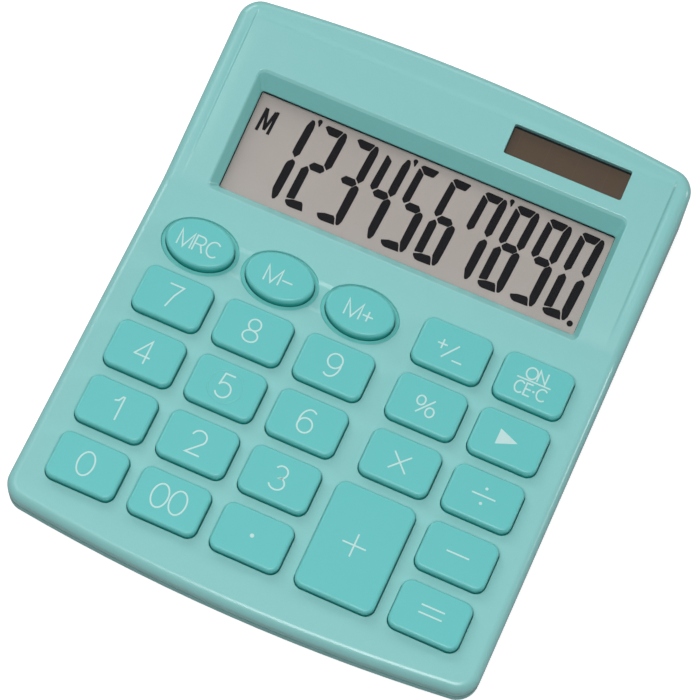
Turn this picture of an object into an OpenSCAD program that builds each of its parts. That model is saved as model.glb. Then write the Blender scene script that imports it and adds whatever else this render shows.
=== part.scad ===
// Ten-digit desktop calculator with a sloped display face, 24 sprung keys, solar cell and button cell.
// Axes: X to the right, Y to the rear, Z up. The feet stand on Z = 0. Millimetres.

/* [Case] */
// Overall width
case_w = 105; // [102:0.5:120]
// Overall length, front to rear
case_l = 127; // [126:0.5:140]
// Height of the top surface at the front edge
front_h = 7.5; // [7.4:0.1:12]
// Length of the display part in plan, from the fold to the rear edge
disp_span = 45.6; // [43:0.1:46]
// Slope of the keypad face, degrees
pad_tilt = 1.75; // [1.5:0.05:4]
// Slope of the display face, degrees
disp_tilt = 14.2; // [12:0.1:16]
// Bow of the front edge
front_bow = 3.3; // [2:0.1:4]
// Bow of the rear edge
rear_bow = 3; // [2:0.1:4]
// Plan radius of the four corners
corner_r = 5; // [4:0.1:7]
// Rounding of the top edge
edge_r = 2.1; // [1:0.1:2.5]
// Thickness of the case walls
wall = 1.8; // [1.4:0.1:2.2]

/* [Rear cover] */
// Height of the seam between the two shells
seam_z = 3.6; // [3.2:0.1:4.5]
// Thickness of the floor
floor_t = 1.5; // [1:0.1:1.6]
// Rounding of the bottom edge
base_edge_r = 0.8; // [0.4:0.1:1.2]
// Step of the cover behind the front case at the seam
seam_step = 0.12; // [0.05:0.01:0.3]
// Offset that lets a rounding cross a face instead of just touching it
crease = 0.02; // [0.01:0.01:0.04]
// Height of the lip above the seam
lip_h = 1.2; // [0.6:0.1:1.6]
// Thickness of the lip
lip_t = 0.9; // [0.6:0.1:1]
// Clearance between the lip and the front case
lip_gap = 0.15; // [0.05:0.05:0.25]
// Length of the shallow label recess
label_l = 26; // [10:1:40]
// Width of the shallow label recess
label_w = 58; // [20:1:70]
// Depth of the shallow label recess
label_depth = 0.25; // [0.1:0.05:0.5]

/* [Rubber feet] */
// Radius of a foot
foot_r = 4; // [3:0.1:5]
// Height that a foot stands out
foot_h = 0.6; // [0.4:0.1:1.2]
// Depth of the pocket that holds a foot
foot_pocket = 0.5; // [0.3:0.1:0.8]
// Distance of the feet from the side edges
foot_side = 12.5; // [9.5:0.5:20]
// Distance of the feet from the front and rear edges
foot_inset = 14; // [10:0.5:20]

/* [Keys] */
// Distance of the outer keys from the side edges
key_side = 6.59; // [6:0.01:9]
// Distance of the front keys from the front edge
key_front = 9.54; // [9.3:0.02:10]
// Distance of the rear keys from the fold
key_rear = 6.66; // [6.5:0.02:7.5]
// Space between the keys of a row
key_space_x = 3.07; // [2.5:0.01:4]
// Space between the rows of keys
key_space_y = 2.8; // [2.5:0.05:4]
// Extra space between the digit keys and the operator keys
op_gap = 2.54; // [1.5:0.02:3]
// Height of a key above the case
key_h = 2; // [1.6:0.1:3]
// Corner radius of a key
key_r = 1.9; // [1:0.1:2.5]
// Rounding of the top edge of a key
key_edge = 0.8; // [0.3:0.1:1]
// Extra width of the tall plus key
plus_extra = 2.1; // [0.6:0.1:2.6]
// Difference in size between an oval key and a square one
oval_less = 0.2; // [0:0.1:1]
// Travel of a key
travel = 1.2; // [0.8:0.1:1.3]
// Clearance between a key and its hole
key_gap = 0.25; // [0.15:0.05:0.35]
// Width of the flange that keeps a key in
flange_w = 0.8; // [0.6:0.1:0.9]
// Thickness of the flange
flange_t = 0.8; // [0.6:0.1:1]
// Clearance above the flange
flange_gap = 0.1; // [0.05:0.05:0.2]
// Wall of the hollow key
key_wall = 1.2; // [0.8:0.1:1.4]
// Radius of the plunger inside a key
plunger_r = 1.7; // [1.2:0.1:2]
// Depth of the plunger tip below the case surface
plunger_depth = 1.9; // [1.5:0.1:2.2]

/* [Oval key recess] */
// Width of the recessed rim round an oval key
rim_w = 0.8; // [0.4:0.1:1]
// Depth of the rim
rim_depth = 0.5; // [0.2:0.1:0.8]
// Length of the channel that joins the rims
channel_l = 6.6; // [3:0.1:8]

/* [Dome sheet and board] */
// Thickness of the rubber sheet
sheet_t = 0.4; // [0.3:0.05:0.5]
// Clearance between a pressed flange and the sheet
sheet_gap = 0.05; // [0.02:0.01:0.1]
// Radius of a dome at its foot
dome_r = 3.6; // [3:0.1:4]
// Radius of a dome at its top
dome_top_r = 2.2; // [1.8:0.1:2.6]
// Thickness of the dome skin
dome_t = 0.6; // [0.4:0.05:0.8]
// Thickness of the circuit board
board_t = 1; // [0.8:0.1:1.1]
// Distance of the board from the side edges of the case
board_side = 7.8; // [7.7:0.1:9.5]
// Distance of the board from the front edge of the case
board_front = 8.3; // [8.2:0.1:8.6]
// Distance of the board from the fold
board_fold = 1.4; // [1:0.1:2.4]
// Strip of the board that the sheet leaves free at the rear
sheet_short = 3.6; // [2:0.1:4]
// Radius of the chip blob
chip_r = 5; // [3:0.1:6]
// Height of the chip blob
chip_h = 1.1; // [0.6:0.1:1.3]
// Clearance between the chip and the bonded end of the ribbon
chip_gap = 1; // [0.5:0.1:3]
// Length of a chip capacitor
cap_l = 3.2; // [2:0.1:4]
// Width of a chip capacitor
cap_w = 1.6; // [1:0.1:2]
// Height of a chip capacitor
cap_h = 1; // [0.6:0.1:1.3]

/* [Display] */
// Distance of the picture area from the side edges of the case
lcd_side = 11.5; // [11:0.1:17]
// Length of the display opening
lcd_l = 22.7; // [18:0.1:23]
// Distance of the opening from the fold
lcd_from_fold = 2.5; // [2.4:0.1:4]
// Width of the upper bezel slope
bezel_top = 4.4; // [1:0.1:4.6]
// Width of the side bezel slopes
bezel_side = 1.4; // [0.5:0.1:1.6]
// Width of the lower bezel slope
bezel_low = 1.5; // [0.5:0.1:2]
// Depth of the bezel slopes
bezel_depth = 2.1; // [1.5:0.1:2.3]
// Depth of the clear window below the surface
window_depth = 2.6; // [2.4:0.1:2.8]
// Thickness of the clear window
window_t = 1; // [0.6:0.1:1.2]
// Thickness of the LCD glass
glass_t = 2; // [1.2:0.1:2.2]
// Margin of the window and the glass round the opening
glass_margin = 2; // [1:0.1:2.2]
// Clearance between stacked pieces
stack_gap = 0.05; // [0.02:0.01:0.1]
// Clearance round the glass in its frame
frame_gap = 0.1; // [0.05:0.05:0.2]
// Wall of the frame round the glass
frame_wall = 1.1; // [0.8:0.1:1.2]
// Thickness of the clamp plate
clamp_t = 1.2; // [0.8:0.1:1.3]
// Height of the raised panel at its rear edge
panel_h = 0.5; // [0.2:0.1:0.7]
// Distance from the fold at which the panel starts to rise
panel_start = 1; // [0.5:0.1:2]
// Distance of the panel from the side edges
panel_side = 3.8; // [3:0.1:5]
// Distance of the panel from the rear edge
panel_rear = 5.5; // [4:0.1:6]
// Length of the panel's rear slope
panel_slope = 2; // [1:0.1:3]

/* [Ribbon] */
// Width of the ribbon
ribbon_w = 62; // [30:1:70]
// Thickness of the ribbon
ribbon_t = 0.12; // [0.08:0.01:0.14]
// Length of the ribbon's bonded ends
ribbon_end = 1.6; // [1:0.1:1.8]

/* [Solar cell] */
// Width of the solar window
solar_w = 26.9; // [20:0.1:28]
// Length of the solar window
solar_l = 6.8; // [5:0.1:7]
// Distance of the solar cell from the side edge
solar_side = 13.25; // [12:0.05:20]
// Distance of the solar window from the fold
solar_from_fold = 32.5; // [32.2:0.1:33]
// Margin of the cell round its window
solar_margin = 1.2; // [0.8:0.1:1.4]
// Depth of the cell below the surface
solar_depth = 1; // [0.8:0.1:1.3]
// Thickness of the cell
solar_t = 1.2; // [1:0.1:1.6]
// Wall round the cell
solar_wall = 0.8; // [0.6:0.1:1]
// Width of the foam pad behind the cell
pad_w = 21; // [10:0.5:22]
// Thickness of the foam pad
pad_t = 1.5; // [1:0.1:2]

/* [Button cell] */
// Radius of the cell
cell_r = 5.8; // [4:0.1:6.2]
// Height of the cell
cell_h = 3.05; // [2:0.05:3.6]
// Radius of the raised pole under the button cell
pole_r = 4.93; // [3:0.01:5]
// Height of the raised pole
pole_h = 0.38; // [0.2:0.01:0.6]
// Distance of the button cell from the side edge
cell_side = 24.5; // [20.5:0.5:32]
// Distance of the cell from the rear edge
cell_rear = 15; // [14:0.5:18]
// Clearance round the cell
cell_gap = 0.2; // [0.1:0.05:0.3]
// Wall of the cell's ring
ring_wall = 1.2; // [0.8:0.1:1.4]
// Thickness of the contact strips
strip_t = 0.25; // [0.15:0.05:0.4]
// Width of the contact strips
strip_w = 4; // [2:0.1:5]
// Height of the contact tabs
tab_h = 2; // [1:0.1:2.5]

/* [Wires] */
// Radius of a wire
wire_r = 0.3; // [0.2:0.05:0.3]
// Distance of the wires on the board from its rear edge
wire_inset = 3; // [2:0.1:4]

/* [Screws] */
// Radius of the bosses of the case screws
boss_r = 2; // [1.8:0.1:2.2]
// Height at which the two halves of a case boss meet
boss_z = 3.2; // [3:0.1:3.4]
// Radius of a case screw
screw_r = 0.9; // [0.7:0.05:1]
// Head radius of a case screw
head_r = 1.8; // [1.5:0.1:2]
// Head height of a case screw
head_h = 1; // [0.8:0.1:1.1]
// Thread length of a case screw
screw_l = 4.2; // [3.5:0.1:4.4]
// Distance of the front case screws from the middle
front_screw_x = 20; // [10:0.5:24]
// Distance of the front case screws from the front edge
front_screw_y = 5.8; // [5.7:0.1:5.9]
// Distance of the middle case screws from the side edges
mid_screw_side = 5.2; // [5.1:0.1:5.3]
// Distance of the middle case screws from the fold
mid_screw_fold = 3.1; // [2.6:0.1:3.2]
// Distance of the rear case screws from the side and rear edges
rear_screw = 8; // [7.5:0.1:9]
// Radius of the posts that carry the board
post_r = 1.5; // [1.3:0.1:1.6]
// Radius of a small screw
pin_r = 0.6; // [0.5:0.05:0.7]
// Head radius of a small screw
pin_head_r = 1.3; // [1:0.1:1.4]
// Head height of a small screw
pin_head_h = 0.6; // [0.4:0.1:0.7]
// Thread length of a small screw
pin_l = 2.8; // [2.4:0.1:3]
// Clearance of a screw in a tapped bore
thread_gap = 0.02; // [0.01:0.01:0.05]
// Clearance of a screw in a through hole
hole_gap = 0.15; // [0.1:0.05:0.3]
// Distance of the clamp screws from the frame around the glass
clamp_reach = 2.6; // [2.3:0.1:2.7]
// Radius of the bosses of the clamp screws
clamp_boss_r = 1.8; // [1.6:0.1:1.9]

/* [Hidden] */
$fn = 96;
arc_fn = 1440;
over = 1;
case_color = [0.52, 0.75, 0.74];
key_color = [0.42, 0.76, 0.76];
rubber_color = [0.25, 0.28, 0.3];
metal_color = [0.75, 0.75, 0.76];
board_color = [0.15, 0.4, 0.25];

// Outline: two shallow arcs joined by straight sides and rounded corners
half_w = case_w / 2;
half_l = case_l / 2;
front_arc_r = half_w * half_w / (2 * front_bow) + front_bow / 2;
rear_arc_r = half_w * half_w / (2 * rear_bow) + rear_bow / 2;
corner_x = half_w - corner_r + crease;
front_reach = front_arc_r - corner_r + crease;
rear_reach = rear_arc_r - corner_r + crease;
front_corner_y = -half_l + front_arc_r - sqrt(front_reach * front_reach - corner_x * corner_x);
rear_corner_y = half_l - rear_arc_r + sqrt(rear_reach * rear_reach - corner_x * corner_x);
front_arc_turn = asin(corner_x / front_reach);
rear_arc_turn = asin(corner_x / rear_reach);

// Faces
pad_l = case_l - disp_span;
fold_y = -half_l + pad_l;
fold_z = front_h + pad_l * tan(pad_tilt);
rear_z = fold_z + (case_l - pad_l) * tan(disp_tilt);
disp_l = (case_l - pad_l) / cos(disp_tilt);
floor_top = foot_h + floor_t;
panel_end = disp_l - panel_rear;

// Keys
col_pitch = (case_w - 2 * key_side + key_space_x - op_gap) / 5;
row_pitch = (pad_l - key_front - key_rear + key_space_y) / 5;
key_w = col_pitch - key_space_x;
key_l = row_pitch - key_space_y;
plus_w = key_w + plus_extra;
oval_w = key_w - oval_less;
oval_l = key_l - oval_less;
front_row = key_front + key_l / 2;
col_span = 4 * col_pitch + op_gap;
function col_x(c) = c * col_pitch + (c > 2 ? op_gap : 0) - col_span / 2;
function row_y(r) = front_row + (4 - r) * row_pitch;
plus_x = col_x(3) + (key_w - plus_w) / 2;
plus_y = (row_y(3) + row_y(4)) / 2;
plus_l = key_l + row_pitch;
flange_top = -wall - flange_gap;
flange_low = flange_top - flange_t;
sheet_top = flange_low - travel - sheet_gap;
board_top = sheet_top - sheet_t;
board_low = board_top - board_t;
board_w = case_w - 2 * board_side;
board_rear = pad_l - board_fold;
sheet_rear = board_rear - sheet_short;
chip_y = board_rear - ribbon_end - chip_gap - chip_r;
dome_h = -plunger_depth - stack_gap - sheet_top;
square_keys = [for (c = [3:4]) [c, 0], for (c = [0:4], r = [1:4]) if (c != 3 || r < 3) [c, r]];
dome_places = concat([for (k = square_keys) [col_x(k[0]), row_y(k[1])]],
    [for (c = [0:2]) [col_x(c), row_y(0)]], [[plus_x, plus_y]]);

// Display stack, measured down from the display face
lcd_w = case_w - 2 * lcd_side;
glass_w = lcd_w + 2 * glass_margin;
glass_l = lcd_l + 2 * glass_margin;
glass_y = lcd_from_fold - glass_margin;
window_top = -window_depth - stack_gap;
glass_top = window_top - window_t - stack_gap;
glass_low = glass_top - glass_t;
frame_low = glass_low - stack_gap;
clamp_top = frame_low - stack_gap;
clamp_low = clamp_top - clamp_t;
clamp_ys = [glass_y + glass_l / 4, glass_y + 3 * glass_l / 4];
clamp_x = glass_w / 2 + frame_gap + frame_wall + clamp_reach;
cell_top = -solar_depth - stack_gap;
solar_low = cell_top - solar_t;
solar_x = half_w - solar_side - solar_w / 2;
solar_y = solar_from_fold + solar_l / 2;
pad_low = solar_low - stack_gap - pad_t;

// Screws
case_screws_at = [for (s = [-1, 1]) [s * front_screw_x, -half_l + front_screw_y],
    for (s = [-1, 1]) [s * (half_w - mid_screw_side), fold_y - mid_screw_fold],
    for (s = [-1, 1]) [s * (half_w - rear_screw), half_l - rear_screw]];
head_sink = 0.15;
head_z = foot_h + head_sink;
board_xs = [(col_x(0) + col_x(1)) / 2, (col_x(3) + col_x(4)) / 2];
board_ys = [(row_y(0) + row_y(1)) / 2, (row_y(2) + row_y(3)) / 2];
foot_places = [for (sx = [-1, 1], sy = [-1, 1]) [sx * (half_w - foot_side), sy * (half_l - foot_inset)]];
cell_x = -half_w + cell_side;
cell_y = half_l - cell_rear;
cell_z = floor_top + stack_gap + strip_t + stack_gap;
wire_end_y = board_rear - wire_inset;
wire_low = floor_top + stack_gap + wire_r;

// ---------- frames ----------

// Origin on the front edge of the keypad face, Y up the slope, Z out of the face
module on_keypad() {
    translate([0, -half_l, front_h]) rotate([pad_tilt, 0, 0]) children();
}

// Origin on the fold, Y up the display face, Z out of the face
module on_display() {
    translate([0, fold_y, fold_z]) rotate([disp_tilt, 0, 0]) children();
}

// ---------- outline ----------

module corner_wedge(turn) {
    reach = 3 * corner_r;
    difference() {
        polygon([[0, 0], [reach * sin(turn), -reach * cos(turn)], [reach, -reach], [reach, 0]]);
        children();
    }
}

module outline(inset) {
    difference() {
        intersection() {
            square([case_w - 2 * inset, case_l], center = true);
            translate([0, -half_l + front_arc_r]) circle(front_arc_r - inset, $fn = arc_fn);
            translate([0, half_l - rear_arc_r]) circle(rear_arc_r - inset, $fn = arc_fn);
        }
        for (side = [0, 1]) mirror([side, 0]) {
            translate([corner_x, front_corner_y]) corner_wedge(front_arc_turn)
                circle(corner_r - inset);
            translate([corner_x, rear_corner_y]) mirror([0, 1])
                corner_wedge(rear_arc_turn) circle(corner_r - inset);
        }
    }
}

// ---------- edge rounding ----------

// Section of the material that a rounding of radius r takes off a wall at x = 0
module edge_section(r, facets = $fn) {
    difference() {
        translate([-r, -r]) square([r + over, r + over]);
        translate([crease - r, crease - r]) circle(r, $fn = facets);
    }
}

module arc_edge(arc_r, r) {
    turn = asin((half_w + over) / arc_r);
    rotate([0, 0, -90 - turn]) rotate_extrude(angle = 2 * turn, $fn = arc_fn)
        translate([arc_r, 0]) edge_section(r, 96);
}

module corner_edge(turn, inset, r) {
    rotate([0, 0, -90 + turn]) rotate_extrude(angle = 90 - turn) translate([corner_r - inset, 0])
        edge_section(r);
}

// Rounding of the front edge and its corners, from an origin on that edge
module front_edges(inset, r) {
    translate([0, front_arc_r]) arc_edge(front_arc_r - inset, r);
    for (side = [0, 1]) mirror([side, 0]) translate([corner_x, front_corner_y + half_l])
        corner_edge(front_arc_turn, inset, r);
}

// Rounding of the rear edge and its corners, from an origin on that edge, on a face sloped by tilt
module rear_edges(inset, r, tilt) {
    mirror([0, 1]) {
        translate([0, rear_arc_r]) arc_edge(rear_arc_r - inset, r);
        for (side = [0, 1]) mirror([side, 0]) translate([corner_x, (half_l - rear_corner_y) / cos(tilt)])
            corner_edge(rear_arc_turn, inset, r);
    }
}

// Section w wide with rounded upper corners
module crowned_section(w, top, low, r) {
    translate([-w / 2, low]) square([w, top - r - low]);
    translate([-w / 2 + r, low]) square([w - 2 * r, top - low]);
    for (s = [-1, 1]) translate([s * (w / 2 - r), top - r]) circle(r);
}

// Long bar under z = 0, its upper edges rounded
module crowned_bar(w, r) {
    rotate([90, 0, 0]) translate([0, 0, -case_l]) linear_extrude(2 * case_l)
        crowned_section(w, 0, -case_w, r);
}

// Half space in front of the fold (way = -1) or behind it (way = 1)
module beside_fold(way) {
    translate([-case_w, way < 0 ? fold_y - case_l : fold_y, -case_l])
        cube([2 * case_w, case_l, 2 * case_l]);
}

// Outside of the front case, with all its upper edges rounded
module outer_body() {
    difference() {
        intersection() {
            translate([0, 0, seam_z]) linear_extrude(rear_z + over - seam_z) outline(0);
            union() {
                intersection() {
                    on_keypad() crowned_bar(case_w, edge_r);
                    beside_fold(-1);
                }
                intersection() {
                    on_display() crowned_bar(case_w, edge_r);
                    beside_fold(1);
                }
            }
        }
        on_keypad() front_edges(0, edge_r);
        on_display() translate([0, disp_l - edge_r * tan(disp_tilt) / 2, 0])
            rear_edges(0, edge_r, disp_tilt);
    }
}

// ---------- case ----------

// Side section of the space below the top faces, moved down by drop
module side_section(low, drop) {
    pad_drop = drop / cos(pad_tilt);
    disp_drop = drop / cos(disp_tilt);
    cross = (disp_drop - pad_drop) / (tan(disp_tilt) - tan(pad_tilt));
    polygon([[-half_l - over, low], [-half_l - over, front_h - pad_drop - over * tan(pad_tilt)],
        [fold_y + cross, fold_z - pad_drop + cross * tan(pad_tilt)],
        [half_l + over, rear_z - disp_drop + over * tan(disp_tilt)], [half_l + over, low]]);
}

// Body under the top faces, between the outline and low, inset and dropped
module case_body(inset, drop, low) {
    intersection() {
        translate([0, 0, low]) linear_extrude(rear_z + over - low) outline(inset);
        rotate([90, 0, 90]) translate([0, 0, -case_w]) linear_extrude(2 * case_w)
            side_section(low - over, drop);
    }
}

module display_panel() {
    crest = panel_end - panel_slope;
    rise = panel_h / (crest - panel_start);
    on_display() translate([-half_w + panel_side, 0, 0]) rotate([90, 0, 90])
        linear_extrude(case_w - 2 * panel_side)
        polygon([[-panel_start, -wall / 4], [-panel_start, -2 * panel_start * rise], [crest, panel_h],
            [panel_end, 0], [panel_end, -wall / 4]]);
}

// Opening for the display: four slopes down to a straight-sided hole
module bezel_opening() {
    rise = 0.5;
    far = 1 + rise;
    top = rise * bezel_depth;
    intersection() {
        rotate([90, 0, 90]) translate([0, 0, -half_w]) linear_extrude(case_w)
            polygon([[lcd_from_fold - bezel_low * far, top], [lcd_from_fold, -bezel_depth],
                [lcd_from_fold + lcd_l, -bezel_depth], [lcd_from_fold + lcd_l + bezel_top * far, top]]);
        rotate([90, 0, 0]) translate([0, 0, -disp_l]) linear_extrude(2 * disp_l)
            polygon([[-lcd_w / 2 - bezel_side * far, top], [-lcd_w / 2, -bezel_depth],
                [lcd_w / 2, -bezel_depth], [lcd_w / 2 + bezel_side * far, top]]);
    }
    translate([-lcd_w / 2, lcd_from_fold, -window_depth - over])
        cube([lcd_w, lcd_l, window_depth + over - bezel_depth + over / 4]);
}

module glass_block(grow, top, low) {
    translate([-glass_w / 2 - grow, glass_y - grow, low])
        cube([glass_w + 2 * grow, glass_l + 2 * grow, top - low]);
}

module solar_block(grow, top, low) {
    translate([solar_x - solar_w / 2 - grow, solar_from_fold - grow, low])
        cube([solar_w + 2 * grow, solar_l + 2 * grow, top - low]);
}

module rounded_rect(w, l, r) {
    square([w - 2 * r, l], center = true);
    square([w, l - 2 * r], center = true);
    for (sx = [-1, 1], sy = [-1, 1]) translate([sx * (w / 2 - r), sy * (l / 2 - r)]) circle(r);
}

module oval_column(w, l, top, low) {
    translate([0, 0, low]) scale([1, l / w, 1]) cylinder(d = w, h = top - low);
}

module key_holes() {
    for (k = square_keys) translate([col_x(k[0]), row_y(k[1]), -wall - over])
        linear_extrude(wall + 2 * over)
        rounded_rect(key_w + 2 * key_gap, key_l + 2 * key_gap, key_r + key_gap);
    translate([plus_x, plus_y, -wall - over]) linear_extrude(wall + 2 * over)
        rounded_rect(plus_w + 2 * key_gap, plus_l + 2 * key_gap, key_r + key_gap);
    for (c = [0:2]) translate([col_x(c), row_y(0), 0]) {
        oval_column(oval_w + 2 * key_gap, oval_l + 2 * key_gap, over, -wall - over);
        oval_column(oval_w + 2 * (key_gap + rim_w), oval_l + 2 * (key_gap + rim_w), over, -rim_depth);
    }
    translate([col_x(0), row_y(0) - channel_l / 2, -rim_depth]) cube([2 * col_pitch, channel_l, over]);
}

module boss_below(places, r, low) {
    for (p = places) translate([p[0], p[1], low]) cylinder(r = r, h = rear_z - low);
}

module front_case() color(case_color) {
    difference() {
        union() {
            difference() {
                outer_body();
                case_body(wall, wall, seam_z - over);
            }
            display_panel();
            intersection() {
                case_body(wall / 2, wall / 2, seam_z - over);
                union() {
                    on_display() {
                        glass_block(frame_gap + frame_wall, 0, frame_low);
                        solar_block(solar_margin + frame_gap + solar_wall, 0, solar_low);
                        for (s = [-1, 1], y = clamp_ys) translate([s * clamp_x, y, frame_low])
                            cylinder(r = clamp_boss_r, h = -frame_low);
                    }
                    on_keypad() for (x = board_xs, y = board_ys) translate([x, y, board_top + stack_gap])
                        cylinder(r = post_r, h = -board_top);
                }
            }
            intersection() {
                case_body(wall / 2, wall / 2, boss_z);
                boss_below(case_screws_at, boss_r, boss_z);
            }
        }
        on_display() {
            bezel_opening();
            glass_block(frame_gap, -window_depth, frame_low - over);
            solar_block(0, over, -wall - over);
            solar_block(solar_margin + frame_gap, -solar_depth, solar_low - over);
            for (s = [-1, 1], y = clamp_ys) translate([s * clamp_x, y, frame_low - over])
                cylinder(r = pin_r + thread_gap, h = pin_l + over - clamp_t + stack_gap);
        }
        on_keypad() {
            key_holes();
            for (x = board_xs, y = board_ys) translate([x, y, board_top - over])
                cylinder(r = pin_r + thread_gap, h = pin_l + over - board_t + 2 * stack_gap);
        }
        for (p = case_screws_at) translate([p[0], p[1], boss_z - over])
            cylinder(r = screw_r + thread_gap, h = head_z + head_h + screw_l + stack_gap + over - boss_z);
    }
}

module rear_cover() color(case_color) {
    difference() {
        union() {
            difference() {
                intersection() {
                    translate([0, 0, foot_h]) linear_extrude(seam_z - foot_h) outline(seam_step);
                    translate([0, 0, foot_h]) mirror([0, 0, 1])
                        crowned_bar(case_w - 2 * seam_step, base_edge_r);
                }
                translate([0, -half_l, foot_h]) mirror([0, 0, 1]) front_edges(seam_step, base_edge_r);
                translate([0, half_l, foot_h]) mirror([0, 0, 1]) rear_edges(seam_step, base_edge_r, 0);
                translate([0, 0, floor_top]) linear_extrude(seam_z) outline(wall + lip_gap + lip_t);
            }
            translate([0, 0, floor_top]) linear_extrude(seam_z + lip_h - floor_top) difference() {
                outline(wall + lip_gap);
                outline(wall + lip_gap + lip_t);
            }
            for (p = case_screws_at) translate([p[0], p[1], foot_h + floor_t / 2])
                cylinder(r = boss_r, h = boss_z - stack_gap - foot_h - floor_t / 2);
            translate([cell_x, cell_y, floor_top - floor_t / 2]) difference() {
                cylinder(r = cell_r + cell_gap + ring_wall, h = cell_h + floor_t / 2);
                cylinder(r = cell_r + cell_gap, h = case_l);
                translate([-case_w / 2, -strip_w / 2 - cell_gap, floor_t / 2])
                    cube([case_w, strip_w + 2 * cell_gap, case_l]);
            }
            solar_ribs();
        }
        for (p = case_screws_at) translate([p[0], p[1], 0]) {
            cylinder(r = head_r + hole_gap, h = head_z + head_h);
            cylinder(r = screw_r + hole_gap, h = boss_z + over);
        }
        for (p = foot_places) translate([p[0], p[1], 0])
            cylinder(r = foot_r + cell_gap, h = foot_h + foot_pocket);
        translate([-label_w / 2, -label_l / 2, foot_h - over]) cube([label_w, label_l, over + label_depth]);
    }
}

// Two upright ribs that press the foam pad against the solar cell
module solar_ribs() {
    intersection() {
        for (s = [-1, 1]) translate([solar_x + s * pad_w / 4 - wall / 4, fold_y, floor_top - floor_t / 2])
            cube([wall / 2, half_l - fold_y, rear_z]);
        on_display() translate([-half_w, solar_y - solar_l / 2, pad_low - stack_gap - rear_z])
            cube([case_w, solar_l, rear_z]);
    }
}

// ---------- keys ----------

// Cap with a rounded top edge, its underside open
module cap_body(w, l) {
    low = flange_low;
    h = key_h - low;
    intersection() {
        translate([0, 0, low]) linear_extrude(h) rounded_rect(w, l, key_r);
        rotate([90, 0, 0]) translate([0, 0, -l]) linear_extrude(2 * l)
            crowned_section(w, key_h, low, key_edge);
        rotate([90, 0, 90]) translate([0, 0, -w]) linear_extrude(2 * w)
            crowned_section(l, key_h, low, key_edge);
    }
}

module plunger() {
    translate([0, 0, -plunger_depth]) cylinder(r = plunger_r, h = key_h - key_wall / 2 + plunger_depth);
}

module rect_key(x, y, w, l) color(key_color) on_keypad() translate([x, y, 0]) {
    difference() {
        union() {
            cap_body(w, l);
            translate([0, 0, flange_low]) linear_extrude(flange_t)
                rounded_rect(w + 2 * flange_w, l + 2 * flange_w, key_r + flange_w);
        }
        translate([0, 0, flange_low - over]) linear_extrude(key_h - key_wall - flange_low + over)
            rounded_rect(w - 2 * key_wall, l - 2 * key_wall, key_r - key_wall / 2);
    }
    plunger();
}

module square_key(c, r) {
    rect_key(col_x(c), row_y(r), key_w, key_l);
}

module oval_key(c) color(key_color) on_keypad() translate([col_x(c), row_y(0), 0]) {
    difference() {
        union() {
            scale([1, oval_l / oval_w, 1]) rotate_extrude() {
                translate([0, flange_low]) square([oval_w / 2, key_h - key_edge - flange_low]);
                translate([0, flange_low]) square([oval_w / 2 - key_edge, key_h - flange_low]);
                translate([oval_w / 2 - key_edge, key_h - key_edge]) intersection() {
                    circle(key_edge);
                    square(key_edge);
                }
            }
            oval_column(oval_w + 2 * flange_w, oval_l + 2 * flange_w, flange_top, flange_low);
        }
        oval_column(oval_w - 2 * key_wall, oval_l - 2 * key_wall, key_h - key_wall, flange_low - over);
    }
    plunger();
}

module key_mrc() { oval_key(0); }
module key_m_minus() { oval_key(1); }
module key_m_plus() { oval_key(2); }
module key_sign() { square_key(3, 0); }
module key_on() { square_key(4, 0); }
module key_7() { square_key(0, 1); }
module key_8() { square_key(1, 1); }
module key_9() { square_key(2, 1); }
module key_percent() { square_key(3, 1); }
module key_shift() { square_key(4, 1); }
module key_4() { square_key(0, 2); }
module key_5() { square_key(1, 2); }
module key_6() { square_key(2, 2); }
module key_times() { square_key(3, 2); }
module key_divide() { square_key(4, 2); }
module key_1() { square_key(0, 3); }
module key_2() { square_key(1, 3); }
module key_3() { square_key(2, 3); }
module key_plus() { rect_key(plus_x, plus_y, plus_w, plus_l); }
module key_minus() { square_key(4, 3); }
module key_0() { square_key(0, 4); }
module key_00() { square_key(1, 4); }
module key_point() { square_key(2, 4); }
module key_equals() { square_key(4, 4); }

// ---------- under the keys ----------

module dome_sheet() color(rubber_color) on_keypad() difference() {
    union() {
        translate([-board_w / 2, board_front, board_top + stack_gap])
            cube([board_w, sheet_rear - board_front, sheet_t - stack_gap]);
        for (p = dome_places) translate([p[0], p[1], sheet_top - sheet_t / 2])
            cylinder(r1 = dome_r, r2 = dome_top_r, h = dome_h + sheet_t / 2);
    }
    for (p = dome_places) translate([p[0], p[1], board_top])
        cylinder(r1 = dome_r - dome_t, r2 = dome_top_r - dome_t, h = sheet_t + dome_h - dome_t);
    for (x = board_xs, y = board_ys) translate([x, y, board_top]) cylinder(r = post_r + hole_gap, h = dome_h);
}

module circuit_board() color(board_color) on_keypad() difference() {
    translate([-board_w / 2, board_front, board_low]) cube([board_w, board_rear - board_front, board_t]);
    for (x = board_xs, y = board_ys) translate([x, y, board_low - over])
        cylinder(r = pin_r + hole_gap, h = board_t + 2 * over);
}

module chip_blob() color([0.08, 0.08, 0.09]) on_keypad()
    translate([0, chip_y, board_low - stack_gap]) rotate([180, 0, 0]) {
        ball_r = (chip_r * chip_r + chip_h * chip_h) / (2 * chip_h);
        intersection() {
            translate([0, 0, chip_h - ball_r]) sphere(ball_r);
            cylinder(r = chip_r, h = 2 * chip_h);
        }
    }

module chip_capacitors() color([0.7, 0.6, 0.4]) on_keypad()
    for (i = [1:3])
        translate([chip_r + i * 2 * cap_l, chip_y, board_low - stack_gap - cap_h])
        cube([cap_l, cap_w, cap_h]);

// ---------- display ----------

module display_window() color([0.9, 0.93, 0.92]) on_display()
    glass_block(0, window_top, window_top - window_t);

module lcd_glass() color([0.66, 0.64, 0.62]) on_display() glass_block(0, glass_top, glass_low);

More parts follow.
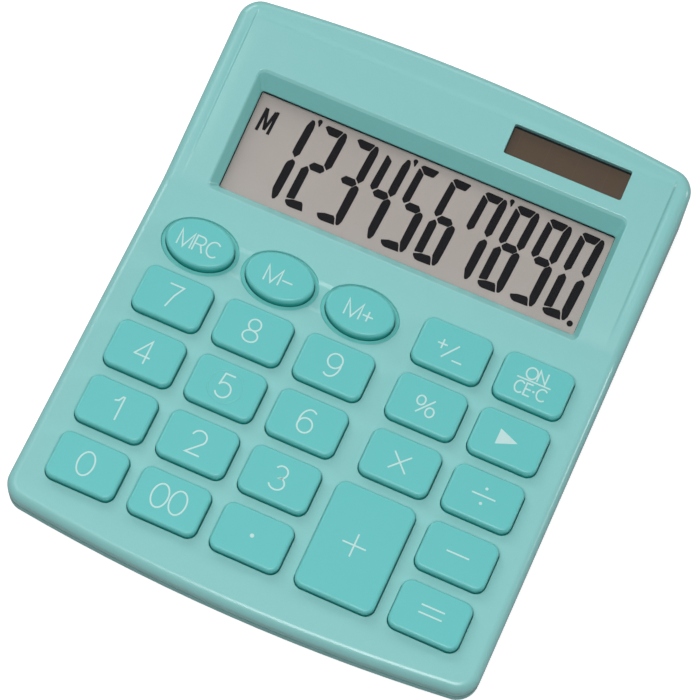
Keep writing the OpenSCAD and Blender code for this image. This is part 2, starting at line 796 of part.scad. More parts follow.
module lcd_clamp() color([0.9, 0.9, 0.9]) on_display() difference() {
    union() {
        glass_block(frame_gap + frame_wall, clamp_top, clamp_low);
        for (s = [-1, 1], y = clamp_ys) translate([s * clamp_x, y, clamp_low]) {
            cylinder(r = clamp_boss_r, h = clamp_t);
            translate([s > 0 ? -clamp_boss_r - over : 0, -clamp_boss_r, 0])
                cube([clamp_boss_r + over, 2 * clamp_boss_r, clamp_t]);
        }
    }
    for (s = [-1, 1], y = clamp_ys) translate([s * clamp_x, y, clamp_low - over])
        cylinder(r = pin_r + hole_gap, h = clamp_t + 2 * over);
}

// Side section of the ribbon from under the board to under the front edge of the clamp
module display_ribbon() color([0.75, 0.5, 0.2]) {
    board_z = board_low - stack_gap;
    start = face_point(-half_l, front_h, pad_tilt, board_rear - ribbon_end, board_z);
    bend = face_point(-half_l, front_h, pad_tilt, board_rear, board_z);
    ledge = face_point(fold_y, fold_z, disp_tilt, glass_y - frame_gap - frame_wall, clamp_low - stack_gap);
    tail = face_point(fold_y, fold_z, disp_tilt, glass_y - frame_gap - frame_wall + ribbon_end,
        clamp_low - stack_gap);
    rotate([90, 0, 90]) translate([0, 0, -ribbon_w / 2]) linear_extrude(ribbon_w)
        polygon([start, bend, ledge, tail, tail - [0, ribbon_t], ledge - [0, ribbon_t], bend - [0, ribbon_t],
            start - [0, ribbon_t]]);
}

function face_point(y, z, tilt, along, up) =
    [y + along * cos(tilt) - up * sin(tilt), z + along * sin(tilt) + up * cos(tilt)];

// ---------- power ----------

module solar_cell() color([0.3, 0.24, 0.2]) on_display() solar_block(solar_margin, cell_top, solar_low);

module solar_pad() color([0.2, 0.2, 0.2]) on_display()
    translate([solar_x - pad_w / 2, solar_from_fold, pad_low]) cube([pad_w, solar_l, pad_t]);

module button_cell() color(metal_color) translate([cell_x, cell_y, cell_z]) {
    cylinder(r = pole_r, h = cell_h);
    translate([0, 0, pole_h]) cylinder(r = cell_r, h = cell_h - pole_h);
}

// Strip over the cell with a leg down to the floor
module contact_positive() color([0.85, 0.75, 0.4]) {
    top = cell_z + cell_h + stack_gap;
    out = cell_r + cell_gap + ring_wall + 2 * strip_t;
    translate([cell_x, cell_y + strip_w / 2, 0]) rotate([90, 0, 0]) linear_extrude(strip_w) {
        translate([-cell_r / 2, top]) square([cell_r / 2 + out, strip_t]);
        translate([out - strip_t, floor_top + stack_gap])
            square([strip_t, top + strip_t - floor_top - stack_gap]);
        translate([out - strip_t, floor_top + stack_gap]) square([tab_h, strip_t]);
    }
}

// Strip under the cell with an upright tab outside the ring
module contact_negative() color([0.85, 0.75, 0.4]) {
    out = cell_r + cell_gap + ring_wall + tab_h;
    translate([cell_x, cell_y + strip_w / 2, floor_top + stack_gap]) rotate([90, 0, 0])
        linear_extrude(strip_w) {
        translate([-out, 0]) square([out + cell_r / 2, strip_t]);
        translate([-out, 0]) square([strip_t, tab_h]);
    }
}

// Wire along straight stretches, with a ball at each bend
module wire(points) {
    for (i = [0:len(points) - 2]) {
        d = points[i + 1] - points[i];
        translate(points[i]) rotate([0, acos(d[2] / norm(d)), atan2(d[1], d[0])])
            cylinder(r = wire_r, h = norm(d));
    }
    for (i = [1:len(points) - 2]) translate(points[i]) sphere(wire_r);
}

// Route along the floor and up to the underside of the board
module floor_wire(x, from, start_z) {
    board_point = face_point(-half_l, front_h, pad_tilt, wire_end_y, board_low - stack_gap);
    wire([[x, from, start_z], [x, from, wire_low], [x, board_point[0], wire_low],
        [x, board_point[0], board_point[1] - stack_gap]]);
}

module solar_wire(s) {
    joint = face_point(fold_y, fold_z, disp_tilt, solar_y, solar_low - stack_gap);
    floor_wire(solar_x + s * (solar_w / 2 - wire_r), joint[0], joint[1] - 2 * stack_gap);
}

module solar_wire_red() color([0.7, 0.1, 0.1]) solar_wire(1);
module solar_wire_black() color([0.1, 0.1, 0.1]) solar_wire(-1);

module cell_wire(x) {
    floor_wire(x, cell_y - strip_w / 2 - wire_r - stack_gap, floor_top + tab_h);
}

module cell_wire_red() color([0.7, 0.1, 0.1])
    cell_wire(cell_x + cell_r + cell_gap + ring_wall + 2 * strip_t + tab_h / 2);

module cell_wire_black() color([0.1, 0.1, 0.1])
    cell_wire(cell_x - cell_r - cell_gap - ring_wall - tab_h / 2);

// ---------- screws and feet ----------

module screw(r, l, big_r, big_h) {
    difference() {
        cylinder(r = big_r, h = big_h);
        translate([0, 0, -over]) linear_extrude(over + big_h / 2) {
            square([big_r * 1.2, big_r / 4], center = true);
            square([big_r / 4, big_r * 1.2], center = true);
        }
    }
    translate([0, 0, big_h]) cylinder(r = r, h = l);
}

module case_screws() color(metal_color)
    for (p = case_screws_at) translate([p[0], p[1], head_z]) screw(screw_r, screw_l, head_r, head_h);

module board_screws() color(metal_color) on_keypad()
    for (x = board_xs, y = board_ys) translate([x, y, board_low - stack_gap - pin_head_h])
        screw(pin_r, pin_l, pin_head_r, pin_head_h);

module clamp_screws() color(metal_color) on_display()
    for (s = [-1, 1], y = clamp_ys) translate([s * clamp_x, y, clamp_low - stack_gap - pin_head_h])
        screw(pin_r, pin_l, pin_head_r, pin_head_h);

module rubber_feet() color(rubber_color)
    for (p = foot_places) translate([p[0], p[1], 0]) cylinder(r = foot_r, h = foot_h + foot_pocket);

front_case();
rear_cover();
key_mrc();
key_m_minus();
key_m_plus();
key_sign();
key_on();
key_7();
key_8();
key_9();
key_percent();
key_shift();
key_4();
key_5();
key_6();
key_times();
key_divide();
key_1();
key_2();
key_3();
key_plus();
key_minus();
key_0();
key_00();
key_point();
key_equals();
dome_sheet();
circuit_board();
chip_blob();
chip_capacitors();
display_window();
lcd_glass();
lcd_clamp();
display_ribbon();
solar_cell();
solar_pad();
button_cell();
contact_positive();
contact_negative();
solar_wire_red();
solar_wire_black();
cell_wire_red();
cell_wire_black();
case_screws();
board_screws();
clamp_screws();
rubber_feet();
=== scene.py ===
"""Looks of a desktop calculator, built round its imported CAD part.

Lengths are in millimetres in the CAD frame until a mesh is made; Blender gets metres.
"""

import logging
import math
from dataclasses import dataclass, field
from enum import Enum
from typing import Callable, Sequence

import bpy
import numpy as np
from mathutils import Matrix, Vector
from mathutils.geometry import delaunay_2d_cdt


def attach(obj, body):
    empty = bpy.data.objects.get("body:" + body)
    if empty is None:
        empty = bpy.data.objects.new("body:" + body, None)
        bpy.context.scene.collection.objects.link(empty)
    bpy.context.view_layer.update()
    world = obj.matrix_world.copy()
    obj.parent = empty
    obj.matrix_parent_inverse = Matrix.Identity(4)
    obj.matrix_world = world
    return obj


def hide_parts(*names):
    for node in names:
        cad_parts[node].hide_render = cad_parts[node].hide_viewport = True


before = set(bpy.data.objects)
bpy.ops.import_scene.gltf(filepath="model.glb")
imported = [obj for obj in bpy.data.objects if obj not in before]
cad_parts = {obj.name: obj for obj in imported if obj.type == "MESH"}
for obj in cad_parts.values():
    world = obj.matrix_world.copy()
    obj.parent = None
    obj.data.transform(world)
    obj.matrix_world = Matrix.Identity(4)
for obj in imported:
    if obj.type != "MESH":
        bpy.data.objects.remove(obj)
LOG = logging.getLogger("calculator")
MM = 0.001
SLOPE_STEP = 0.02
SAME_POINT = 1e-4
SAME_CORNER = 1e-5
EDGE_STEPS, RIM_STEPS, FILLET_STEPS = 10, 5, 9
EDGE_SHARE = 0.994
HOLE_CLEAR = 0.5
LOW_SIDE = -0.7
WINDOW_UNDER = 0.3
SOLAR_PITCH = 0.0067

Array = np.ndarray
Pair = tuple[float, float]
Triple = tuple[float, float, float]


@dataclass(frozen=True)
class CaseSizes:
    """Outside of the case."""

    width: float = 105.0
    length: float = 127.0
    front_h: float = 7.5
    pad_l: float = 81.4
    pad_tilt: float = 1.75
    disp_tilt: float = 14.2
    front_bow: float = 3.3
    rear_bow: float = 3.0
    corner_r: float = 5.0
    edge_r: float = 2.1
    seam_z: float = 3.6
    seam_edge: float = 0.15
    groove_z: float = 4.25
    groove_top: float = 0.12
    groove_d: float = 0.16
    groove_low: float = 0.7
    wall: float = 1.8
    inner_drop: float = 1.2
    fold_soft: float = 0.5
    panel_h: float = 0.5
    panel_start: float = 1.0
    panel_side: float = 3.8
    panel_rear: float = 5.5
    panel_slope: float = 2.0
    panel_soft: float = 0.25
    crest_soft: float = 0.3
    gutter_d: float = 0.12
    gutter_w: float = 0.45
    gutter_start: Pair = (4.0, 12.0)
    gutter_end: float = 6.0
    bow_facets: int = 60
    corner_facets: int = 14
    facet: float = 1.6
    grid: float = 3.5
    fold_grid: float = 3.0
    fold_band: float = 3.0
    fold_lines: int = 13
    line_ends: Pair = (0.4, 0.8)
    line_points: tuple[int, int] = (40, 80)
    side_lines: tuple[float, float, int] = (-0.3, 1.5, 13)
    crest_lines: tuple[float, float, int] = (-0.5, 0.5, 11)

    @property
    def half_w(self) -> float:
        """Half of the width."""
        return self.width / 2

    @property
    def half_l(self) -> float:
        """Half of the length."""
        return self.length / 2

    @property
    def fold_y(self) -> float:
        """Place of the fold along the length."""
        return self.pad_l - self.half_l

    @property
    def fold_z(self) -> float:
        """Height of the fold."""
        return self.front_h + self.pad_l * math.tan(math.radians(self.pad_tilt))

    @property
    def panel_end(self) -> float:
        """Distance of the panel's rear end from the fold, up the slope."""
        return (self.length - self.pad_l) / math.cos(math.radians(self.disp_tilt)) - self.panel_rear


@dataclass(frozen=True)
class KeySizes:
    """Keys and their places."""

    width: float = 15.4
    length: float = 10.8
    height: float = 2.0
    corner_r: float = 2.1
    fillet: float = 0.7
    oval_w: float = 15.2
    oval_l: float = 10.6
    plus_w: float = 17.5
    plus_l: float = 24.4
    plus_x: float = 18.69
    plus_y: float = 21.74
    cols: tuple[float, ...] = (-38.21, -19.74, -1.27, 19.74, 38.21)
    rows: tuple[float, ...] = (69.34, 55.74, 42.14, 28.54, 14.94)
    gap: float = 0.15
    hole_edge: float = 0.2
    oval_edge: float = 0.12
    flange_w: float = 0.8
    flange_t: float = 0.8
    flange_gap: float = 0.1
    rim_w: float = 0.9
    rim_depth: float = 0.5
    rim_soft: float = 0.12
    channel_l: float = 6.6
    channel_depth: float = 0.34
    channel_soft: Pair = (0.9, 0.4)
    end_soft: float = 0.01
    channel_grid: float = 0.5
    channel_lines: tuple[float, float, int] = (-1.0, 0.5, 8)
    rim_lines: tuple[float, ...] = (-0.13, -0.06, 0.0, 0.06, 0.13)
    ring_r: float = 3.7
    ring_t: float = 0.16
    ring_sink: float = 0.02
    ring_spread: float = 1.6
    ring_rise: float = 0.5
    ring_lean: float = 0.6
    ring_facets: int = 72
    core: float = 0.45
    hole_facets: int = 8
    cap_facets: int = 10
    legend_stroke: float = 0.34
    print_lift: float = 0.012


@dataclass(frozen=True)
class DisplaySizes:
    """Display opening, glass and solar window; lengths up the slope are from the fold."""

    lcd_x: float = 0.15
    lcd_w: float = 82.3
    lcd_l: float = 23.1
    lcd_from_fold: float = 2.5
    lip_r: float = 0.5
    lip_facets: int = 6
    lip_step: float = 1.2
    bezel_top: float = 4.0
    bezel_left: float = 1.9
    bezel_right: float = 1.3
    bezel_low: float = 1.5
    bezel_r: float = 1.5
    bezel_edge: tuple[Pair, ...] = ((0.22, 0.0), (0.11, 0.012), (0.0, 0.055), (-0.1, 0.13))
    bezel_shares: tuple[float, ...] = (0.85, 0.5, 0.15, 0.04)
    lip_rows: tuple[Pair, ...] = ((0.03, 0.02), (0.0, 0.1))
    # Widths of the painted shadow line along the display window's left, top and right edges, where the bezel's edge
    # shades the display.
    shadow_line: Triple = (0.2, 0.28, 0.08)
    bezel_depth: float = 2.1
    window_depth: float = 2.65
    glass_depth: float = 3.7
    solar_w: float = 26.9
    solar_l: float = 6.8
    solar_r: float = 0.5
    solar_facets: int = 5
    solar_x: float = 25.8
    solar_from_fold: float = 32.5
    solar_depth: float = 1.0
    solar_edge: float = 0.18
    solar_wall: float = 0.4
    wall_end: float = 1.0
    shadow_line_lift: float = 0.01
    solar_under: float = 0.05
    # Widths of the painted shadow line along the solar window's left, top and right edges, cast by its recess wall.
    solar_shadow_line: Triple = (0.12, 0.42, 0.0)


@dataclass(frozen=True)
class DigitSizes:
    """Digits shown on the display."""

    pitch: float = 7.478
    first_x: float = -35.17
    top_y: float = 25.15
    unit_x: float = 0.01258
    unit_y: float = 0.012975
    grow: float = 0.09
    stroke: float = 0.72
    point_r: float = 0.68
    commas: tuple[int, ...] = (1, 4, 7)


class Key(Enum):
    """Keys: end of the CAD node's name, column and row."""

    MRC = ("mrc", 0, 0)
    M_MINUS = ("m_minus", 1, 0)
    M_PLUS = ("m_plus", 2, 0)
    SIGN = ("sign", 3, 0)
    ON = ("on", 4, 0)
    D7 = ("7", 0, 1)
    D8 = ("8", 1, 1)
    D9 = ("9", 2, 1)
    PERCENT = ("percent", 3, 1)
    SHIFT = ("shift", 4, 1)
    D4 = ("4", 0, 2)
    D5 = ("5", 1, 2)
    D6 = ("6", 2, 2)
    TIMES = ("times", 3, 2)
    DIVIDE = ("divide", 4, 2)
    D1 = ("1", 0, 3)
    D2 = ("2", 1, 3)
    D3 = ("3", 2, 3)
    PLUS = ("plus", -1, -1)
    MINUS = ("minus", 4, 3)
    D0 = ("0", 0, 4)
    D00 = ("00", 1, 4)
    POINT = ("point", 2, 4)
    EQUALS = ("equals", 4, 4)

    @property
    def node(self) -> str:
        """Name of the CAD node and of its body."""
        return "key_" + self.value[0]

    @property
    def oval(self) -> bool:
        """Whether the key is one of the three oval ones."""
        return self in (Key.MRC, Key.M_MINUS, Key.M_PLUS)

    def place(self, k: KeySizes) -> tuple[float, float, float, float]:
        """Place and size of the key on the keypad face.

        Args:
            k: key sizes.

        Returns:
            X, distance up the slope, width and length.
        """
        if self is Key.PLUS:
            return k.plus_x, k.plus_y, k.plus_w, k.plus_l
        w, l = (k.oval_w, k.oval_l) if self.oval else (k.width, k.length)
        return k.cols[self.value[1]], k.rows[self.value[2]], w, l

    def outline(self, k: KeySizes, gap: float, facets: int) -> "Loop":
        """Outline of the key, or of the hole round it.

        Args:
            k: key sizes.
            gap: distance outside the key.
            facets: facets of each rounded corner.

        Returns:
            The loop on the keypad face.
        """
        x, y, w, l = self.place(k)
        w, l = w + 2 * gap, l + 2 * gap
        return (ellipse(w, l) if self.oval else rounded_rect(w, l, k.corner_r + gap, facets)).at(x, y)


# ---- geometry


def unit(v: Array) -> Array:
    """Vectors scaled to length one."""
    return v / np.maximum(np.linalg.norm(v, axis=-1, keepdims=True), 1e-9)


def extend(values: Array, last: float | Array = 0.0) -> Array:
    """Points or directions with one more coordinate."""
    return np.column_stack([values, np.broadcast_to(last, len(values))])


def lattice(x: Array, y: Array) -> Array:
    """All pairs of two sets of places."""
    return np.stack(np.meshgrid(x, y), -1).reshape(-1, 2)


def slope(f: Callable[[Array], Array], x: Array) -> Array:
    """Slope of a function."""
    return (f(x + SLOPE_STEP) - f(x - SLOPE_STEP)) / (2 * SLOPE_STEP)


def smooth_step(x: Array, low: float, high: float) -> Array:
    """Soft step from 0 at low to 1 at high."""
    t = np.clip((x - low) / (high - low), 0, 1)
    return t * t * (3 - 2 * t)


def slerp(a: Array, b: Array, t: float) -> Array:
    """Unit directions turned from a to b."""
    w = np.arccos(np.clip((a * b).sum(1, keepdims=True), -1, 1))
    return (np.sin((1 - t) * w) * a + np.sin(t * w) * b) / np.maximum(np.sin(w), 1e-6)


@dataclass(frozen=True)
class SlopedFrame:
    """A frame with its X along the case's X, Y up a sloped face and Z out of it."""

    y: float
    z: float
    tilt: float

    def world(self, p: Array) -> Array:
        """Points of this frame in the case's frame.

        Args:
            p: points, with coordinates along the last axis.

        Returns:
            The points.
        """
        p = np.asarray(p, float)
        c, s = math.cos(math.radians(self.tilt)), math.sin(math.radians(self.tilt))
        return np.stack([p[..., 0], self.y + p[..., 1] * c - p[..., 2] * s,
                         self.z + p[..., 1] * s + p[..., 2] * c], -1)

    def lift(self, xy: Array, z: float | Array = 0.0) -> Array:
        """Points of this frame's plane, or above it, in the case's frame."""
        return self.world(extend(xy, z))

    def turned(self, d: Array) -> Array:
        """Directions of this frame in the case's frame."""
        return self.world(d) - self.world(np.zeros(3))


@dataclass
class Loop:
    """A closed line of points in a plane with their outward directions."""

    points: Array
    out: Array

    def offset(self, d: float) -> Array:
        """The points moved outward."""
        return self.points + self.out * d

    def at(self, x: float, y: float) -> "Loop":
        """The loop moved by x and y."""
        return Loop(self.points + [x, y], self.out)


def join_arcs(arcs: Sequence[tuple[float, float, float, float, float, int]], step: float) -> Loop:
    """A loop of arcs joined by straight lines, counter-clockwise.

    Args:
        arcs: centre x, centre y, radius, first and last angle in degrees, and facets of each arc.
        step: longest facet of the straight lines.

    Returns:
        The loop.
    """
    pts, out = [], []
    for k, (cx, cy, r, a0, a1, n) in enumerate(arcs):
        ang = np.radians(np.linspace(a0, a1, n + 1))
        d = np.stack([np.cos(ang), np.sin(ang)], 1)
        pts += list(np.array([cx, cy]) + r * d)
        out += list(d)
        bx, by, br, b0 = arcs[(k + 1) % len(arcs)][:4]
        first, turn = pts[-1], math.radians(b0)
        gap = np.array([bx, by]) + br * np.array([math.cos(turn), math.sin(turn)]) - first
        m = int(np.linalg.norm(gap) / step)
        for j in range(1, m):
            pts.append(first + gap * j / m)
            out.append(d[-1])
    pts, out = np.array(pts), np.array(out)
    keep = np.linalg.norm(pts - np.roll(pts, 1, 0), axis=1) > SAME_POINT
    return Loop(pts[keep], out[keep])


def rounded_rect(w: float, l: float, r: float, facets: int = 8, step: float = 1.6) -> Loop:
    """Rectangle with rounded corners about the origin.

    Args:
        w: width along X.
        l: length along Y.
        r: corner radius.
        facets: facets of each corner.
        step: longest facet of the sides.

    Returns:
        The loop.
    """
    x, y = w / 2 - r, l / 2 - r
    return join_arcs([(x, -y, r, -90, 0, facets), (x, y, r, 0, 90, facets),
                      (-x, y, r, 90, 180, facets), (-x, -y, r, 180, 270, facets)], step)


def ellipse(w: float, l: float, facets: int = 96) -> Loop:
    """Ellipse about the origin.

    Args:
        w: width along X.
        l: length along Y.
        facets: number of points.

    Returns:
        The loop.
    """
    a = np.linspace(0, 2 * np.pi, facets, endpoint=False)
    points = np.stack([w / 2 * np.cos(a), l / 2 * np.sin(a)], 1)
    return Loop(points, unit(np.stack([np.cos(a) / w, np.sin(a) / l], 1)))


def inside(points: Array, loop: Array) -> Array:
    """Which points lie in a closed line.

    Args:
        points: N x 2 points.
        loop: M x 2 points of the line.

    Returns:
        N truth values.
    """
    hit = np.zeros(len(points), bool)
    near = ((points >= loop.min(0)) & (points <= loop.max(0))).all(1)
    p = points[near]
    odd = np.zeros(len(p), bool)
    for a, b in zip(loop, np.roll(loop, -1, 0)):
        cross = (a[1] > p[:, 1]) != (b[1] > p[:, 1])
        with np.errstate(divide="ignore", invalid="ignore"):
            x = a[0] + (p[:, 1] - a[1]) * (b[0] - a[0]) / (b[1] - a[1])
        odd ^= cross & (p[:, 0] < x)
    hit[near] = odd
    return hit


# ---- meshes


def add_object(name: str, data: bpy.types.ID) -> bpy.types.Object:
    """Makes an object and links it to the scene.

    Args:
        name: its name.
        data: its mesh, light or camera.

    Returns:
        The object.
    """
    obj = bpy.data.objects.new(name, data)
    bpy.context.scene.collection.objects.link(obj)
    return obj


class Shell:
    """A surface gathered from patches that carry their own normals."""

    def __init__(self) -> None:
        """Starts without patches."""
        self.points: list[Array] = []
        self.normals: list[Array] = []
        self.faces: list[tuple[int, ...]] = []
        self.slots: list[int] = []
        self.count = 0

    def patch(self, points: Array, normals: Array, faces: Sequence[Sequence[int]], slot: int = 0) -> None:
        """Adds a patch; its faces are turned to agree with its normals.

        Args:
            points: N x 3 points.
            normals: N x 3 normals.
            faces: index lists into the points.
            slot: number of the patch's finish.
        """
        points, normals = np.asarray(points, float), np.asarray(normals, float)
        for f in faces:
            a, b, c = points[f[0]], points[f[1]], points[f[2]]
            d = points[f[3]] if len(f) > 3 else a
            n = np.cross(b - a, c - a) + np.cross(c - a, d - a)
            if np.dot(n, normals[list(f)].sum(0)) < 0:
                f = f[::-1]
            self.faces.append(tuple(int(i) + self.count for i in f))
            self.slots.append(slot)
        self.points.append(points)
        self.normals.append(normals)
        self.count += len(points)

    def loft(self, rows: Sequence[Array], normals: Sequence[Array], closed: bool = True, slot: int = 0) -> None:
        """Quads between rows of points.

        Args:
            rows: rows of N x 3 points.
            normals: their normals.
            closed: whether each row closes on itself.
            slot: number of the finish.
        """
        n = len(rows[0])
        faces = [(r * n + i, r * n + (i + 1) % n, (r + 1) * n + (i + 1) % n, (r + 1) * n + i)
                 for r in range(len(rows) - 1) for i in range(n if closed else n - 1)]
        self.patch(np.concatenate(rows), np.concatenate(normals), faces, slot)

    def lid(self, row: Array, normal: Array, centre: Array) -> None:
        """A flat fan that closes a row.

        Args:
            row: N x 3 points.
            normal: its normal.
            centre: middle of the fan.
        """
        n = len(row)
        fan = [(i, (i + 1) % n, n) for i in range(n)]
        self.patch(np.vstack([row, centre]), np.tile(normal, (n + 1, 1)), fan)

    def build(self, name: str) -> bpy.types.Object:
        """Makes the mesh object: coinciding points become one, and empty faces are left out.

        Args:
            name: object name.

        Returns:
            The object, linked to the scene.
        """
        pts, nrm = np.concatenate(self.points), unit(np.concatenate(self.normals))
        _, first, index = np.unique(np.round(pts, 4), axis=0, return_index=True, return_inverse=True)
        index = index.ravel()
        faces, loops, slots, seen = [], [], [], set()
        for f, slot in zip(self.faces, self.slots):
            g = [index[i] for i in f]
            keep = [k for k in range(len(g)) if g[k] != g[k - 1]]
            key = frozenset(g[k] for k in keep)
            if len(key) < 3 or len(keep) != len(key) or key in seen:
                continue
            seen.add(key)
            faces.append([int(g[k]) for k in keep])
            slots.append(slot)
            loops += [tuple(nrm[f[k]]) for k in keep]
        mesh = bpy.data.meshes.new(name)
        mesh.from_pydata((pts[first] * MM).tolist(), [], faces)
        mesh.polygons.foreach_set("use_smooth", [True] * len(faces))
        mesh.polygons.foreach_set("material_index", slots)
        mesh.normals_split_custom_set(loops)
        mesh.update()
        return add_object(name, mesh)


# ---- case


class TopSurface:
    """Height of the case's upper surface and its normals."""

    def __init__(self, case: CaseSizes, keys: KeySizes) -> None:
        """Sets the faces up.

        Args:
            case: case sizes.
            keys: key sizes.
        """
        self.case, self.keys = case, keys
        self.pad = SlopedFrame(-case.half_l, case.front_h, case.pad_tilt)
        self.disp = SlopedFrame(case.fold_y, case.fold_z, case.disp_tilt)
        self.crest = case.panel_end - case.panel_slope
        self.oval_y = float(self.pad.world([0, keys.rows[0], 0])[1])

    def base(self, y: Array) -> Array:
        """Height of the two faces with their soft fold.

        Args:
            y: places along the length.

        Returns:
            Heights.
        """
        c = self.case
        a = c.front_h + (y + c.half_l) * math.tan(math.radians(c.pad_tilt))
        b = c.fold_z + (y - c.fold_y) * math.tan(math.radians(c.disp_tilt))
        k = c.fold_soft
        return np.maximum(a, b) + np.maximum(k - np.abs(a - b), 0) ** 2 / (4 * k)

    def panel(self, x: Array, s: Array) -> Array:
        """Height of the raised panel and of the shallow gutter at its sides.

        Args:
            x: places along the width.
            s: distances from the fold, up the slope.

        Returns:
            Heights above the display face.
        """
        c = self.case
        up = np.clip((s - c.panel_start) / (self.crest - c.panel_start), 0, 1)
        down = 1 - smooth_step(s, self.crest - c.crest_soft, c.panel_end + c.crest_soft)
        edge = c.half_w - c.panel_side
        side = 1 - smooth_step(np.abs(x), edge - c.panel_soft, edge + c.panel_soft)
        gutter = np.exp(-((np.abs(x) - edge - c.gutter_w) / c.gutter_w) ** 2)
        gutter *= smooth_step(s, *c.gutter_start) * (1 - smooth_step(s, self.crest - c.gutter_end, self.crest))
        return c.panel_h * up * down * side - c.gutter_d * gutter

    def recess(self, x: Array, y: Array) -> Array:
        """Depth of the recess round the oval keys.

        Args:
            x: places along the width.
            y: places along the length.

        Returns:
            Depths.
        """
        k = self.keys
        a, b = k.oval_w / 2 + k.gap + k.rim_w, k.oval_l / 2 + k.gap + k.rim_w
        rim = np.zeros_like(x)
        for c in range(3):
            u, v = x - k.cols[c], y - self.oval_y
            f = np.sqrt((u / a) ** 2 + (v / b) ** 2)
            d = f * (f - 1) / np.maximum(np.sqrt((u / a ** 2) ** 2 + (v / b ** 2) ** 2), 1e-6)
            rim = np.maximum(rim, 1 - smooth_step(d, -k.rim_soft, k.rim_soft))
        first, last = k.cols[0], k.cols[2]
        along = smooth_step(x, first - k.end_soft, first) * (1 - smooth_step(x, last, last + k.end_soft))
        half, soft = k.channel_l / 2, k.channel_soft
        across = 1 - smooth_step(np.abs(y - self.oval_y), half - soft[0], half + soft[1])
        return np.maximum(rim * k.rim_depth, along * across * k.channel_depth)

    def height(self, x: Array, y: Array) -> Array:
        """Height of the surface.

        Args:
            x: places along the width.
            y: places along the length.

        Returns:
            Heights.
        """
        tilt = math.radians(self.case.disp_tilt)
        s = (y - self.case.fold_y) / math.cos(tilt)
        return self.base(y) + self.panel(x, s) / math.cos(tilt) - self.recess(x, y)

    def normal(self, x: Array, y: Array) -> Array:
        """Normals of the surface.

        Args:
            x: places along the width.
            y: places along the length.

        Returns:
            N x 3 unit normals.
        """
        dx = slope(lambda v: self.height(v, y), x)
        dy = slope(lambda v: self.height(x, v), y)
        return unit(np.stack([-dx, -dy, np.ones_like(dx)], 1))

    def on(self, xy: Array) -> Array:
        """Points of the surface above plan points."""
        return extend(xy, self.height(xy[:, 0], xy[:, 1]))

    def oval_rim(self, column: int, extra: float = 0.0) -> Array:
        """Rim of the recess round an oval key."""
        k = self.keys
        return ellipse(k.oval_w, k.oval_l).at(k.cols[column], self.oval_y).offset(k.gap + k.rim_w + extra)


def case_outline(c: CaseSizes) -> Loop:
    """Bowed outline of the case with rounded corners.

    Args:
        c: case sizes.

    Returns:
        The loop.
    """
    fr = c.half_w ** 2 / (2 * c.front_bow) + c.front_bow / 2
    rr = c.half_w ** 2 / (2 * c.rear_bow) + c.rear_bow / 2
    r, cx = c.corner_r, c.half_w - c.corner_r
    fy = -c.half_l + fr - math.sqrt((fr - r) ** 2 - cx ** 2)
    ry = c.half_l - rr + math.sqrt((rr - r) ** 2 - cx ** 2)
    ft = math.degrees(math.asin(cx / (fr - r)))
    rt = math.degrees(math.asin(cx / (rr - r)))
    bow, corner = c.bow_facets, c.corner_facets
    return join_arcs([
        (0, -c.half_l + fr, fr, -90 - ft, -90 + ft, bow), (cx, fy, r, -90 + ft, 0, corner),
        (cx, ry, r, 0, 90 - rt, corner), (0, c.half_l - rr, rr, 90 - rt, 90 + rt, bow),
        (-cx, ry, r, 90 + rt, 180, corner), (-cx, fy, r, 180, 270 - ft, corner)], c.facet)


